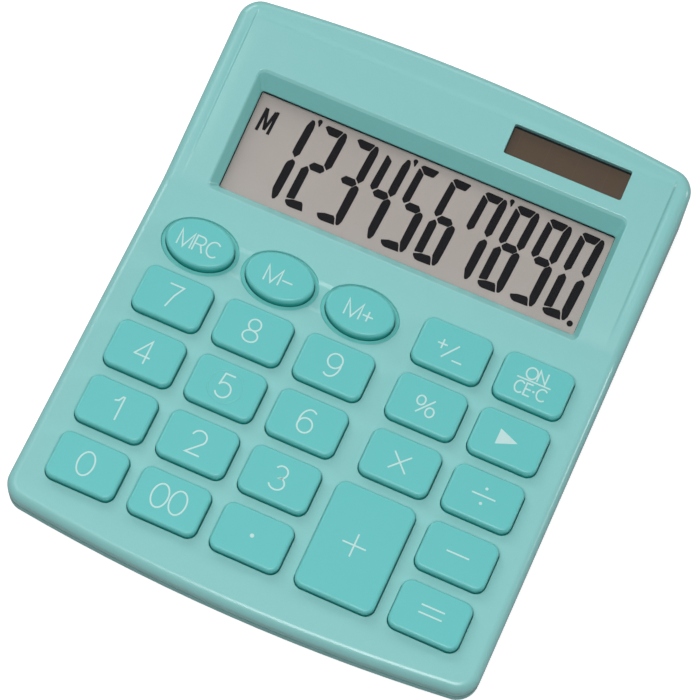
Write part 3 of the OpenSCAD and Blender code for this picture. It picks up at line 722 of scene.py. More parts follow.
@dataclass
class FrontCase:
    """Upper half of the case: a rounded shell with its bezel, holes and recesses."""

    case: CaseSizes
    keys: KeySizes
    disp: DisplaySizes
    surface: TopSurface
    shell: Shell = field(default_factory=Shell)
    holes: list[Array] = field(default_factory=list)

    def outer_edge(self) -> Array:
        """Rounded upper edge, groove, outer wall and seam.

        Returns:
            Plan points where the rounding meets the upper surface.
        """
        c, base = self.case, self.surface.base
        loop = case_outline(c)
        mid = loop.offset(-c.edge_r)
        out, low = extend(loop.out), np.tile([0.0, 0.0, -1.0], (len(mid), 1))
        dy = slope(base, mid[:, 1])
        up = unit(np.stack([np.zeros_like(dy), -dy, np.ones_like(dy)], 1))
        centre = extend(mid, base(mid[:, 1]) - c.edge_r / up[:, 2])
        normals = [slerp(up, out, t) for t in np.linspace(0, 1, EDGE_STEPS)]
        rows = [centre + c.edge_r * d for d in normals]
        edge = rows[0][:, :2]
        rows[0] = self.surface.on(edge)
        inner_top = base(loop.offset(-c.wall)[:, 1]) - c.inner_drop * c.wall
        top, middle, foot, seam, lip, inner, inner_end = (extend(loop.offset(-inset), z) for inset, z in (
            (0, c.groove_z + c.groove_top), (c.groove_d, c.groove_z), (0, c.groove_z - c.groove_low),
            (0, c.seam_z + c.seam_edge), (c.seam_edge, c.seam_z), (c.wall, c.seam_z), (c.wall, inner_top)))
        under = out - c.groove_d / c.groove_low * low
        self.shell.loft(rows + [top], normals + [out])
        for upper, lower, normal in ((top, middle, out), (middle, foot, under), (foot, seam, out), (seam, lip, out),
                                     (lip, inner, low), (inner, inner_end, -out)):
            self.shell.loft([upper, lower], [normal] * 2)
        return edge

    def hole(self, loop: Loop, place: SlopedFrame, edge: float, low: float) -> None:
        """Rounded rim of a hole with a straight wall below it.

        Args:
            loop: outline of the hole in the sloped frame.
            place: the sloped frame.
            edge: radius of the rim.
            low: height of the wall's lower end.
        """
        out = place.turned(extend(loop.out))
        outer = place.lift(loop.offset(edge))[:, :2]
        tall, up = self.surface.on(outer), self.surface.normal(outer[:, 0], outer[:, 1])
        normals = [slerp(up, -out, t) for t in np.linspace(0, 1, RIM_STEPS)]
        rows = [tall - edge * up + edge * d for d in normals]
        self.shell.loft(rows + [place.lift(loop.points, low)], normals + [-out])
        self.holes.append(outer)

    def bezel(self) -> None:
        """Flat sloped sides of the display opening with their lip."""
        d = self.disp
        half = np.array([d.lcd_w, d.lcd_l]) / 2
        inner = rounded_rect(d.lcd_w, d.lcd_l, d.lip_r, d.lip_facets, d.lip_step)
        core = (inner.points - d.lip_r * inner.out) / (half - d.lip_r)
        middle = np.array([d.lcd_x, d.lcd_from_fold + d.lcd_l / 2])
        place = self.surface.disp

        def ring(share: float, extra: float) -> Array:
            """One row of the slopes.

            Args:
                share: place from the lip, 0, to the upper edge, 1.
                extra: distance outside that.

            Returns:
                Points of the display face.
            """
            left, right = d.bezel_left * share + extra, d.bezel_right * share + extra
            low, top = d.bezel_low * share + extra, d.bezel_top * share + extra
            size = half + np.array([left + right, low + top]) / 2
            r = d.lip_r + (d.bezel_r - d.lip_r) * share + extra
            shift = np.array([right - left, top - low]) / 2
            return middle + shift + core * (size - r) + r * inner.out

        edge = ring(1.0, 0.0)
        rise = self.surface.panel(edge[:, 0], edge[:, 1])
        tall = d.bezel_depth + rise
        rows = [(ring(1.0, extra), rise - drop) for extra, drop in d.bezel_edge]
        rows += [(ring(share, 0.0), -d.bezel_depth + tall * share) for share in d.bezel_shares]
        rows += [(ring(0.0, extra), -d.bezel_depth - drop) for extra, drop in d.lip_rows]
        pts = [place.lift(*row) for row in rows]
        outer = pts[0][:, :2]
        pts[0] = self.surface.on(outer)
        grid = np.array(pts)
        across = np.gradient(grid, axis=0)
        along = np.roll(grid, -1, 1) - np.roll(grid, 1, 1)
        normals = unit(np.cross(along, across))
        normals *= np.sign(normals[..., 2:3])
        normals[0] = self.surface.normal(outer[:, 0], outer[:, 1])
        fold = len(d.bezel_edge)
        self.shell.loft(list(grid[:fold + 1]), list(normals[:fold + 1]))
        # The low (front) slope keeps the case finish; the top and side slopes and the lip wall get the darker bezel
        # finish, a painted shade for the light they miss.
        low = inner.out[:, 1] < LOW_SIDE
        start = -int(np.flatnonzero(low & ~np.roll(low, 1))[0])
        turned, faced = np.roll(grid[fold:], start, 1), np.roll(normals[fold:], start, 1)
        turned, faced = np.hstack([turned, turned[:, :1]]), np.hstack([faced, faced[:, :1]])
        count = int(low.sum())
        self.shell.loft(list(turned[:, :count]), list(faced[:, :count]), closed=False)
        self.shell.loft(list(turned[:, count - 1:]), list(faced[:, count - 1:]), closed=False, slot=2)
        out = place.turned(extend(inner.out))
        self.shell.loft([grid[-1], place.lift(rows[-1][0], -d.window_depth - d.wall_end)], [-out, -out], slot=2)
        self.holes.append(outer)

    def key_holes(self) -> None:
        """Holes for the keys and for the solar window."""
        k, d, pad = self.keys, self.disp, self.surface.pad
        for key in Key:
            edge = k.oval_edge if key.oval else k.hole_edge
            self.hole(key.outline(k, k.gap, k.hole_facets), pad, edge, -self.case.wall)
        loop = rounded_rect(d.solar_w, d.solar_l, d.solar_r, d.solar_facets)
        self.hole(loop.at(d.solar_x, d.solar_from_fold + d.solar_l / 2), self.surface.disp, d.solar_edge,
                  -d.solar_depth - d.solar_wall)

    def samples(self) -> Array:
        """Plan points that the surface between the holes is drawn through.

        Returns:
            N x 2 points.
        """
        c, k = self.case, self.keys
        hw, hl = c.half_w, c.half_l
        fold = c.fold_y + np.linspace(-c.fold_band, c.fold_band, c.fold_lines)
        out = [lattice(np.arange(-hw, hw, c.grid), np.arange(-hl, hl, c.grid)),
               lattice(np.arange(-hw, hw, c.fold_grid), fold)]
        for sign in (-1, 1):
            start, end, count = k.channel_lines
            band = sign * np.linspace(k.channel_l / 2 + start, k.channel_l / 2 + end, count)
            out.append(lattice(np.arange(k.cols[0], k.cols[2], k.channel_grid), self.surface.oval_y + band))
        return np.concatenate(out)

    def panel_lines(self) -> list[Array]:
        """Lines along the panel's side and rear edges.

        Returns:
            Lines of plan points.
        """
        c = self.case
        cos = math.cos(math.radians(c.disp_tilt))
        rear = c.fold_y + (c.panel_end + c.line_ends[1]) * cos
        ys = np.linspace(c.fold_y + c.line_ends[0], rear, c.line_points[0])
        edge = c.half_w - c.panel_side + np.linspace(*c.side_lines)
        xs = np.linspace(-edge[-1], edge[-1], c.line_points[1])
        along = [np.column_stack([np.full(len(ys), side * x), ys]) for side in (-1, 1) for x in edge]
        start, end, count = c.crest_lines
        across = np.linspace(self.surface.crest + start, c.panel_end + end, count)
        return along + [extend(xs, c.fold_y + cos * s) for s in across]

    def fill(self, outer: Array) -> None:
        """The upper surface between the outer edge and the holes.

        Args:
            outer: plan points of the outer edge.
        """
        pts, edges = [], []

        def add(line: Array, closed: bool = True) -> None:
            """Adds a line that the triangles keep to.

            Args:
                line: its plan points.
                closed: whether it closes on itself.
            """
            start = sum(len(p) for p in pts)
            pts.append(line)
            edges.extend((start + i, start + (i + 1) % len(line)) for i in range(len(line) - (not closed)))

        add(outer)
        for line in self.panel_lines():
            add(line, False)
        for line in self.holes:
            add(line)
        for column in range(3):
            for extra in self.keys.rim_lines:
                add(self.surface.oval_rim(column, extra))
        free = self.samples()
        free = free[inside(free, outer.mean(0) + (outer - outer.mean(0)) * EDGE_SHARE)]
        for line in self.holes:
            grown = line.mean(0) + (line - line.mean(0)) * (1 + HOLE_CLEAR / np.abs(line - line.mean(0)).max(0))
            free = free[~inside(free, grown)]
        pts.append(free)
        verts, _, faces, *_ = delaunay_2d_cdt([Vector(p) for p in np.concatenate(pts)], edges, [], 0, SAME_CORNER)
        xy, tri = np.array([v[:] for v in verts]), np.array(faces)
        mid = xy[tri].mean(1)
        keep = inside(mid, outer)
        for line in self.holes:
            keep &= ~inside(mid, line)
        tri, mid = tri[keep], mid[keep]
        top = self.surface.on(xy)
        normal = self.surface.normal(xy[:, 0], xy[:, 1])
        # Triangles inside the oval rims get the darker recess finish, a painted shade in the recess round the oval
        # keys.
        ring = np.any([inside(mid, self.surface.oval_rim(column)) for column in range(3)], 0)
        self.shell.patch(top, normal, tri[~ring].tolist())
        self.shell.patch(top, normal, tri[ring].tolist(), 1)

    def build(self) -> bpy.types.Object:
        """Makes the upper case.

        Returns:
            The object.
        """
        outer = self.outer_edge()
        self.bezel()
        self.key_holes()
        self.fill(outer)
        return self.shell.build("upper_case")


# ---- keys


def key_cap(key: Key, k: KeySizes, wall: float, pad: SlopedFrame) -> bpy.types.Object:
    """A key cap with soft upper edges and the flange that holds it in.

    Args:
        key: the key.
        k: key sizes.
        wall: wall of the case.
        pad: frame of the keypad face.

    Returns:
        The object.
    """
    x, y, _, _ = key.place(k)
    loop = key.outline(k, 0.0, k.cap_facets)
    flange = -wall - k.flange_gap
    shell = Shell()
    top = np.array([0.0, 0.0, 1.0])
    out = extend(loop.out)
    up = np.tile(top, (len(out), 1))

    def row(offset: float, z: float) -> Array:
        """The outline moved outward, at a height."""
        return pad.lift(loop.offset(offset), z)

    low = flange - k.flange_t
    shell.loft([row(k.flange_w, low), row(k.flange_w, flange)], [pad.turned(out)] * 2)
    shell.loft([row(k.flange_w, flange), row(0, flange)], [pad.turned(up)] * 2)
    rows, normals = [row(0, flange)], [out]
    f = k.fillet
    for t in np.linspace(0, 1, FILLET_STEPS):
        a = math.radians(90 * t)
        rows.append(row(-f * (1 - math.cos(a)), k.height - f * (1 - math.sin(a))))
        normals.append(out * math.cos(a) + up * math.sin(a))
    shell.loft(rows, [pad.turned(m) for m in normals])
    centre = np.array([x, y])
    core = pad.lift(centre + (loop.offset(-f) - centre) * k.core, k.height)
    shell.loft([rows[-1], core], [pad.turned(up)] * 2)
    shell.lid(core, pad.turned(top), pad.world([x, y, k.height]))
    shell.lid(row(k.flange_w, low), pad.turned(-top), pad.world([x, y, low]))
    return shell.build("cap_" + key.node)


def locating_ring(k: KeySizes, pad: SlopedFrame) -> bpy.types.Object:
    """Low raised ring on the middle key.

    Args:
        k: key sizes.
        pad: frame of the keypad face.

    Returns:
        The object.
    """
    x, y, _, _ = Key.D5.place(k)
    loop = ellipse(2 * k.ring_r, 2 * k.ring_r, k.ring_facets).at(x, y)
    rows, normals = [], []
    for a in np.radians(np.linspace(0, 180, FILLET_STEPS)):
        z = k.height - k.ring_sink + k.ring_t * k.ring_rise * math.sin(a)
        rows.append(pad.lift(loop.offset(k.ring_t * k.ring_spread * math.cos(a)), z))
        normals.append(pad.turned(extend(loop.out * math.cos(a), math.sin(a) + k.ring_lean)))
    shell = Shell()
    shell.loft(rows, normals)
    return shell.build("ring_key_5")


# ---- printed marks


def arc(cx: float, cy: float, rx: float, ry: float, a0: float, a1: float, n: int = 20) -> list[Pair]:
    """Points of an elliptical arc."""
    angles = [math.radians(a) for a in np.linspace(a0, a1, n + 1)]
    return [(cx + rx * math.cos(a), cy + ry * math.sin(a)) for a in angles]


GLYPHS: dict[str, tuple[float, list[list[Pair]]]] = {
    "0": (0.66, [arc(0.33, 0.5, 0.33, 0.5, 0, 360, 36)]),
    "1": (0.34, [[(0.0, 0.76), (0.16, 0.81), (0.27, 1.0), (0.34, 1.0), (0.34, 0.0)]]),
    "2": (0.62, [arc(0.31, 0.7, 0.3, 0.3, 170, -35) + [(0.02, 0.0), (0.62, 0.0)]]),
    "3": (0.62, [arc(0.3, 0.745, 0.255, 0.255, 155, -90) + arc(0.3, 0.265, 0.31, 0.265, 80, -160)]),
    "4": (0.66, [[(0.49, 0.0), (0.49, 1.0), (0.0, 0.3)], [(-0.03, 0.3), (0.66, 0.3)]]),
    "5": (0.62, [[(0.55, 1.0), (0.13, 1.0), (0.06, 0.48)], arc(0.3, 0.32, 0.31, 0.32, 142, -155)]),
    "6": (0.62, [arc(0.31, 0.31, 0.3, 0.31, 0, 360, 30), arc(0.36, 0.5, 0.35, 0.5, 55, 200)]),
    "7": (0.6, [[(0.0, 1.0), (0.6, 1.0), (0.36, 0.55), (0.2, 0.0)]]),
    "8": (0.62, [arc(0.31, 0.75, 0.25, 0.25, 0, 360, 26), arc(0.31, 0.25, 0.31, 0.25, 0, 360, 30)]),
    "9": (0.62, [arc(0.31, 0.69, 0.3, 0.31, 0, 360, 30), arc(0.26, 0.5, 0.35, 0.5, 20, -125)]),
    "M": (0.86, [[(0.0, 0.0), (0.0, 1.0), (0.43, 0.0), (0.86, 1.0), (0.86, 0.0)]]),
    "R": (0.66, [[(0.0, 0.0), (0.0, 1.0), (0.36, 1.0)] + arc(0.36, 0.735, 0.27, 0.265, 80, -90) + [(0.03, 0.47)],
                 [(0.4, 0.47), (0.66, 0.0)]]),
    "C": (0.8, [arc(0.42, 0.5, 0.42, 0.5, 45, 315, 26)]),
    "O": (0.92, [arc(0.46, 0.5, 0.46, 0.5, 0, 360, 36)]),
    "N": (0.7, [[(0.0, 0.0), (0.0, 1.0), (0.7, 0.0), (0.7, 1.0)]]),
    "E": (0.56, [[(0.56, 1.0), (0.0, 1.0), (0.0, 0.0), (0.56, 0.0)], [(0.0, 0.52), (0.5, 0.52)]]),
    "-": (0.62, [[(0.0, 0.4), (0.62, 0.4)]]),
    "+": (0.62, [[(0.0, 0.4), (0.62, 0.4)], [(0.31, 0.08), (0.31, 0.72)]]),
}
"""Strokes of the characters in a box one unit tall, with their widths."""


@dataclass
class Marks:
    """Flat marks made of strokes and filled shapes, in a plane's own millimetres."""

    stroke: float = 0.0
    layer: float = 0.003
    layers: int = 8
    mitre: float = 0.35
    points: list[Triple] = field(default_factory=list)
    faces: list[tuple[int, ...]] = field(default_factory=list)
    count: int = 0

    def add(self, pts: Sequence[Sequence[float]], faces: Sequence[tuple[int, ...]]) -> None:
        """Adds faces on a layer of their own, so that crossing marks do not lie in one plane.

        Args:
            pts: their corners.
            faces: corner numbers of each face.
        """
        start, z = len(self.points), self.count % self.layers * self.layer
        self.points += [(float(p[0]), float(p[1]), z) for p in pts]
        self.faces += [tuple(start + i for i in f) for f in faces]
        self.count += 1

    def shape(self, pts: Sequence[Pair]) -> None:
        """Adds a filled convex shape."""
        self.add(pts, [tuple(range(len(pts)))])

    def line(self, pts: Sequence[Pair]) -> None:
        """Adds a stroke with mitred bends.

        Args:
            pts: its centreline.
        """
        p = np.array(pts, float)
        d = unit(np.diff(p, axis=0))
        closed = np.linalg.norm(p[0] - p[-1]) < 1e-6
        before = np.vstack([d[-1:] if closed else d[:1], d])
        after = np.vstack([d, d[:1] if closed else d[-1:]])
        m = unit(np.stack([-(before[:, 1] + after[:, 1]), before[:, 0] + after[:, 0]], 1))
        normal = np.stack([-after[:, 1], after[:, 0]], 1)
        reach = self.stroke / 2 / np.clip((m * normal).sum(1), self.mitre, 1)
        a, b = p + m * reach[:, None], p - m * reach[:, None]
        n = len(p)
        self.add([*a, *b], [(i, n + i, n + i + 1, i + 1) for i in range(n - 1)])

    def text(self, string: str, x: float, y: float, tall: float, spacing: float = 0.17, wide: float = 1.0) -> None:
        """Adds characters centred on a point.

        Args:
            string: the characters.
            x: middle of the text.
            y: middle of the text.
            tall: height of the characters.
            spacing: gap between characters, as a share of the height.
            wide: widening of the characters.
        """
        width = sum(GLYPHS[c][0] * wide for c in string) + spacing * (len(string) - 1)
        at = x - width * tall / 2
        for c in string:
            w, strokes = GLYPHS[c]
            for s in strokes:
                self.line([(at + px * tall * wide, y + (py - 0.5) * tall) for px, py in s])
            at += (w * wide + spacing) * tall

    def dot(self, x: float, y: float, r: float) -> None:
        """Adds a round dot."""
        self.shape(arc(x, y, r, r, 0, 340, 17))

    def build(self, name: str, place: SlopedFrame, x: float, y: float, z: float) -> bpy.types.Object:
        """Makes the marks as a flat mesh.

        Args:
            name: object name.
            place: frame of the plane.
            x: origin of the marks in that frame.
            y: origin of the marks in that frame.
            z: height of the marks in that frame.

        Returns:
            The object.
        """
        p, faces = np.array(self.points), []
        for f in self.faces:
            q = p[list(f)]
            area = np.dot(q[:, 0], np.roll(q[:, 1], -1)) - np.dot(q[:, 1], np.roll(q[:, 0], -1))
            faces.append(f if area > 0 else f[::-1])
        mesh = bpy.data.meshes.new(name)
        mesh.from_pydata((place.world(p + [x, y, z]) * MM).tolist(), [], faces)
        mesh.normals_split_custom_set_from_vertices([place.turned([0, 0, 1.0]).tolist()] * len(p))
        return add_object(name, mesh)


LEGENDS: dict[str, list[tuple]] = {
    "mrc": [(Marks.text, "MRC", 0.0, -0.4, 3.6, 0.17, 0.95)],
    "m_minus": [(Marks.text, "M-", 0.1, -0.3, 3.6, 0.16, 1.05)],
    "m_plus": [(Marks.text, "M+", 0.1, -0.3, 3.6, 0.16, 1.05)],
    "sign": [(Marks.line, [(-3.4, 0.35), (-1.2, 0.35)]), (Marks.line, [(-2.3, 1.45), (-2.3, -0.75)]),
             (Marks.line, [(-1.6, -2.5), (1.2, 1.2)]), (Marks.line, [(0.8, -2.4), (3.0, -2.4)])],
    "on": [(Marks.text, "ON", -0.15, 1.95, 2.6, 0.12), (Marks.line, [(-3.9, 0.25), (3.6, 0.25)]),
           (Marks.text, "CE", -1.75, -1.75, 2.7, 0.1, 0.92), (Marks.dot, 0.55, -1.75, 0.26),
           (Marks.text, "C", 2.4, -1.75, 2.7, 0.1, 1.0)],
    "percent": [(Marks.line, [(-1.65, -2.25), (1.45, 1.45)]), (Marks.line, arc(-1.4, 0.55, 0.9, 1.05, 0, 360, 24)),
                (Marks.line, arc(1.2, -1.35, 0.9, 1.05, 0, 360, 24))],
    "shift": [(Marks.shape, [(-2.4, -1.9), (2.0, -0.1), (-2.4, 1.7)])],
    "times": [(Marks.line, [(-1.9, 1.7), (1.9, -2.2)]), (Marks.line, [(-1.9, -2.2), (1.9, 1.7)])],
    "divide": [(Marks.line, [(-2.6, 0.2), (2.6, 0.2)]), (Marks.dot, 0.0, 1.9, 0.33), (Marks.dot, 0.0, -1.5, 0.33)],
    "minus": [(Marks.line, [(-2.4, 0.1), (2.6, 0.1)])],
    "equals": [(Marks.line, [(-2.5, 1.2), (2.6, 1.2)]), (Marks.line, [(-2.5, -0.5), (2.6, -0.5)])],
    "plus": [(Marks.line, [(-2.9, 0.0), (2.3, 0.0)]), (Marks.line, [(-0.3, 2.6), (-0.3, -2.6)])],
    "point": [(Marks.dot, 0.0, 0.1, 0.45)],
    "00": [(Marks.text, "00", -0.1, 0.1, 5.3, 0.1)],
    "0": [(Marks.text, "0", -0.3, 0.0, 5.3)],
}
"""Marks of the key legends that are not one plain digit, about the key's middle."""


def key_legend(key: Key, k: KeySizes) -> Marks:
    """Marks of a key's legend.

    Args:
        key: the key.
        k: key sizes.

    Returns:
        The marks, about the key's middle.
    """
    marks, legend = Marks(k.legend_stroke), key.value[0]
    for draw, *values in LEGENDS.get(legend, [(Marks.text, legend, -0.1, 0.0, 5.3)]):
        draw(marks, *values)
    return marks


# ---- display


SEGMENTS: dict[str, list[Pair]] = {
    "a": [(195, 108), (222, 78), (250, 72), (490, 76), (502, 88), (455, 195), (430, 204), (300, 204), (275, 190)],
    "f": [(172, 152), (190, 150), (276, 218), (278, 250), (240, 715), (172, 775), (150, 765), (118, 728), (122, 640)],
    "b": [(525, 92), (548, 84), (570, 92), (592, 130), (603, 210), (565, 700), (505, 772), (440, 712),
          (442, 600), (478, 210)],
    "g": [(212, 795), (262, 738), (425, 738), (472, 792), (474, 812), (425, 866), (255, 866), (207, 815)],
    "e": [(168, 846), (182, 842), (226, 888), (232, 950), (204, 1420), (190, 1432), (75, 1450), (68, 1430), (100, 910)],
    "c": [(490, 828), (530, 840), (552, 870), (556, 940), (530, 1300), (512, 1480), (480, 1545), (450, 1558),
          (430, 1535), (386, 1400), (412, 950), (425, 892)],
    "d": [(74, 1492), (190, 1452), (345, 1438), (372, 1465), (410, 1572), (180, 1579), (130, 1568), (90, 1535),
          (74, 1508)],
}
"""Corners of the seven segments of a digit in its own grid, y downwards."""

DIGITS: dict[str, str] = {"1": "bc", "2": "abged", "3": "abgcd", "4": "fgbc", "5": "afgcd", "6": "afgecd",
                          "7": "abcf", "8": "abcdefg", "9": "abcdfg", "0": "abcdef"}
"""Segments that make each digit."""


def grown(pts: Sequence[Pair], d: float) -> list[Pair]:
    """A convex outline with its sides moved outwards.

    Args:
        pts: its corners.
        d: distance.

    Returns:
        The new corners.
    """
    p = np.array(pts)
    side = np.roll(p, -1, 0) - p
    n = np.stack([side[:, 1], -side[:, 0]], 1) / np.linalg.norm(side, axis=1, keepdims=True)
    if (n * (p.mean(0) - p)).sum() > 0:
        n = -n
    both = n + np.roll(n, 1, 0)
    reach = d / np.maximum((both * n).sum(1), 0.9)
    return [tuple(q) for q in p + both * reach[:, None]]


def window_shadow_line(x: float, y: float, w: float, l: float, shadow_line: Triple) -> Marks:
    """Painted shadow line round the top and sides of a window, where the window's raised edge shades it.

    Args:
        x: middle of the window.
        y: lower side of the window.
        w: width of the window.
        l: length of the window.
        shadow_line: width of the line at the left, the top and the right.

    Returns:
        The marks, in the display frame.
    """
    m, under = Marks(), WINDOW_UNDER
    x0, x1, y0, y1 = x - w / 2 - under, x + w / 2 + under, y - under, y + l + under
    left, top, right = (under + b for b in shadow_line)
    m.shape([(x0, y0), (x0 + left, y0), (x0 + left, y1), (x0, y1)])
    m.shape([(x0, y1 - top), (x1, y1 - top), (x1, y1), (x0, y1)])
    m.shape([(x1 - right, y0), (x1, y0), (x1, y1), (x1 - right, y1)])
    return m


def display_marks(d: DigitSizes) -> Marks:
    """The digits, separators and memory sign shown on the display.

    Args:
        d: digit sizes.

    Returns:
        The marks, in the display frame.
    """
    m = Marks(d.stroke)

    def place(cell: int, x: float, y: float) -> Pair:
        """Point of a digit's grid on the display."""
        return d.first_x + d.pitch * cell + x * d.unit_x, d.top_y - y * d.unit_y

    for cell, digit in enumerate("1234567890"):
        for name in DIGITS[digit]:
            m.shape(grown([place(cell, x, y) for x, y in SEGMENTS[name]], d.grow))
    for cell in d.commas:
        angles = np.linspace(0, 2 * np.pi, 16)[:-1]
        m.shape([place(cell, 68 + 42 * math.cos(a), 62 + 40 * math.sin(a)) for a in angles])
        m.shape([place(cell, *p) for p in ((38, 84), (104, 84), (92, 140), (74, 156))])
    m.dot(*place(9, 591, 1568), d.point_r)
    for stroke in ([(-299, 605), (-271, 185)], [(-262, 190), (-183, 530), (-175, 530), (-95, 200)],
                   [(-66, 185), (-89, 605)]):
        m.line([place(0, x, y) for x, y in stroke])
    return m


# ---- shading


def operator(operation: str, reflected: bool = False) -> Callable[["Sock", "Sock | float"], "Sock"]:
    """Makes an operator of shader outputs.

    Args:
        operation: operation of the Math node.
        reflected: whether the output is the second operand.

    Returns:
        The operator.
    """
    def apply(self: "Sock", other: "Sock | float") -> "Sock":
        """Joins the output with another value."""
        a, b = (other, self) if reflected else (self, other)
        return self.graph.node("ShaderNodeMath", {"operation": operation}, {0: a, 1: b})

    return apply


@dataclass(frozen=True)
class Sock:
    """A shader output that sums and scales like a number."""

    graph: "Graph"
    socket: bpy.types.NodeSocket

    __add__, __radd__ = operator("ADD"), operator("ADD", True)
    __sub__, __rsub__ = operator("SUBTRACT"), operator("SUBTRACT", True)
    __mul__, __rmul__ = operator("MULTIPLY"), operator("MULTIPLY", True)
    __truediv__, __rtruediv__ = operator("DIVIDE"), operator("DIVIDE", True)

    def above(self, low: float, high: float) -> "Sock":
        """Soft step from 0 at low to 1 at high."""
        return self.graph.node("ShaderNodeMapRange", {"interpolation_type": "SMOOTHSTEP"},
                               {0: self, 1: low, 2: high, 3: 0.0, 4: 1.0})


@dataclass(frozen=True)
class Graph:
    """Node tree of a material or of the world."""

    tree: bpy.types.NodeTree

    def feed(self, made: bpy.types.Node, values: dict) -> None:
        """Sets or links the inputs of a node.

        Args:
            made: the node.
            values: values or links of its inputs, by number or name.
        """
        for name, value in values.items():
            if isinstance(value, Sock):
                self.tree.links.new(value.socket, made.inputs[name])
            else:
                made.inputs[name].default_value = value

    def node(self, kind: str, settings: dict | None = None, values: dict | None = None, out: int | str = 0) -> Sock:
        """Adds a node.

        Args:
            kind: its type.
            settings: its properties.
            values: values or links of its inputs, by number or name.
            out: which output to return.

        Returns:
            The output.
        """
        made = self.tree.nodes.new(kind)
        for name, value in (settings or {}).items():
            setattr(made, name, value)
        self.feed(made, values or {})
        return Sock(self, made.outputs[out])

    def seen(self, kind: str, others: Sock, camera: Sock) -> None:
        """Makes the tree's output from one look for camera rays and one for all other rays.

        Args:
            kind: type of the output node.
            others: look for the other rays.
            camera: look for camera rays.
        """
        ray = self.node("ShaderNodeLightPath", out="Is Camera Ray")
        both = self.node("ShaderNodeMixShader", None, {0: ray, 1: others, 2: camera})
        self.feed(self.tree.nodes.new(kind), {0: both})

    def mix(self, factor: Sock | float, a: Sock | Sequence[float], b: Sock | Sequence[float]) -> Sock:
        """Mixes two colours."""
        a, b = (v if isinstance(v, Sock) else (*v, 1.0) for v in (a, b))
        return self.node("ShaderNodeMix", {"data_type": "RGBA"}, {0: factor, 6: a, 7: b}, 2)

    def place(self) -> Sock:
        """Position in the piece's own metres."""
        return self.node("ShaderNodeTexCoord", out="Object")

    def noise(self, scale: float, detail: float = 2.0, roughness: float = 0.5) -> Sock:
        """Noise from 0 to 1 with its scale in features per metre."""
        return self.node("ShaderNodeTexNoise", None,
                         {"Vector": self.place(), "Scale": scale, "Detail": detail, "Roughness": roughness})

    def above_pad(self) -> Sock:
        """Height above the keypad face, in millimetres.

        Returns:
            The height.
        """
        c = CaseSizes()
        tilt = math.radians(c.pad_tilt)
        normal = (0.0, -math.sin(tilt), math.cos(tilt))
        start = c.half_l * math.sin(tilt) + c.front_h * math.cos(tilt)
        across = self.node("ShaderNodeVectorMath", {"operation": "DOT_PRODUCT"}, {0: self.place(), 1: normal}, "Value")
        return across * (1 / MM) - start


def linear(r: float, g: float, b: float) -> Triple:
    """A display colour, each part 0 to 255, in scene-linear values."""
    shares = (r / 255, g / 255, b / 255)
    return tuple(c / 12.92 if c <= 0.04045 else ((c + 0.055) / 1.055) ** 2.4 for c in shares)


def new_material(name: str) -> tuple[bpy.types.Material, Graph]:
    """Makes a material with a node tree.

    Args:
        name: its name.

    Returns:
        The material and its tree.
    """
    material = bpy.data.materials.new(name)
    material.use_nodes = True
    return material, Graph(material.node_tree)


@dataclass(frozen=True)
class Finish:
    """A surface finish with its small-scale detail; grain_um is the depth of the grain in micrometres."""

    name: str
    colour: Triple
    second: Triple
    rough: float = 0.45
    grain: float = 9000.0
    grain_um: float = 10.0
    rough_spread: float = 0.08
    metal: float = 0.0
    coat: float = 0.0
    specular: float = 0.5
    mottle: float = 160.0
    mottle_share: float = 0.25
    mottle_range: Pair = (0.35, 0.65)
    grain_range: Pair = (0.3, 0.75)
    grain_share: float = 0.06
    bump: float = 0.6
    coat_rough: float = 0.2
    # The next two fields paint shade low on a piece's sides: a darker colour near the keypad face that fades out over
    # the given range of heights, in millimetres.
    side: Triple | None = None
    gap_shade_range: Pair = (0.0, 1.0)
    alpha: float = 1.0
    worn: float = 0.0
    wear_range: Pair = (0.6, 0.7)
    wear_colour: Triple = (0.02, 0.02, 0.02)
    brushed: bool = False
    brush: Triple = (60.0, 4000.0, 400.0)
    brush_rough: float = 0.2

    def make(self) -> bpy.types.Material:
        """Builds the material.

        Returns:
            The material.
        """
        material, g = new_material(self.name)
        broad = g.noise(self.mottle, 3.0)
        fine = g.noise(self.grain, 2.0)
        colour = g.mix(broad.above(*self.mottle_range) * self.mottle_share, self.colour, self.second)
        colour = g.mix(fine.above(*self.grain_range) * self.grain_share, colour, (0.0, 0.0, 0.0))
        # Painted shade: the colour turns darker and deeper towards the keypad face, standing in for the shade near the
        # gap round the keys.
        if self.side:
            colour = g.mix(g.above_pad().above(*self.gap_shade_range), self.side, colour)
        if self.worn:
            wear = g.noise(700.0, 6.0, 0.7).above(*self.wear_range) * self.worn
            colour = g.mix(wear, colour, self.wear_colour)
        rough = self.rough + (broad - 0.5) * self.rough_spread + (fine - 0.5) * self.rough_spread
        height = fine
        if self.brushed:
            drawn = g.node("ShaderNodeVectorMath", {"operation": "MULTIPLY"}, {0: g.place(), 1: self.brush})
            lines = g.node("ShaderNodeTexNoise", None, {"Vector": drawn, "Scale": 1.0, "Detail": 3.0})
            height = height + lines
            rough = rough + (lines - 0.5) * self.brush_rough
        depth = self.grain_um * 1e-6
        bump = g.node("ShaderNodeBump", None, {"Strength": self.bump, "Distance": depth, "Height": height})
        g.feed(material.node_tree.nodes["Principled BSDF"], {
            "Specular IOR Level": self.specular, "Coat Weight": self.coat, "Coat Roughness": self.coat_rough,
            "Metallic": self.metal, "Alpha": self.alpha, "Base Color": colour, "Roughness": rough, "Normal": bump})
        return material


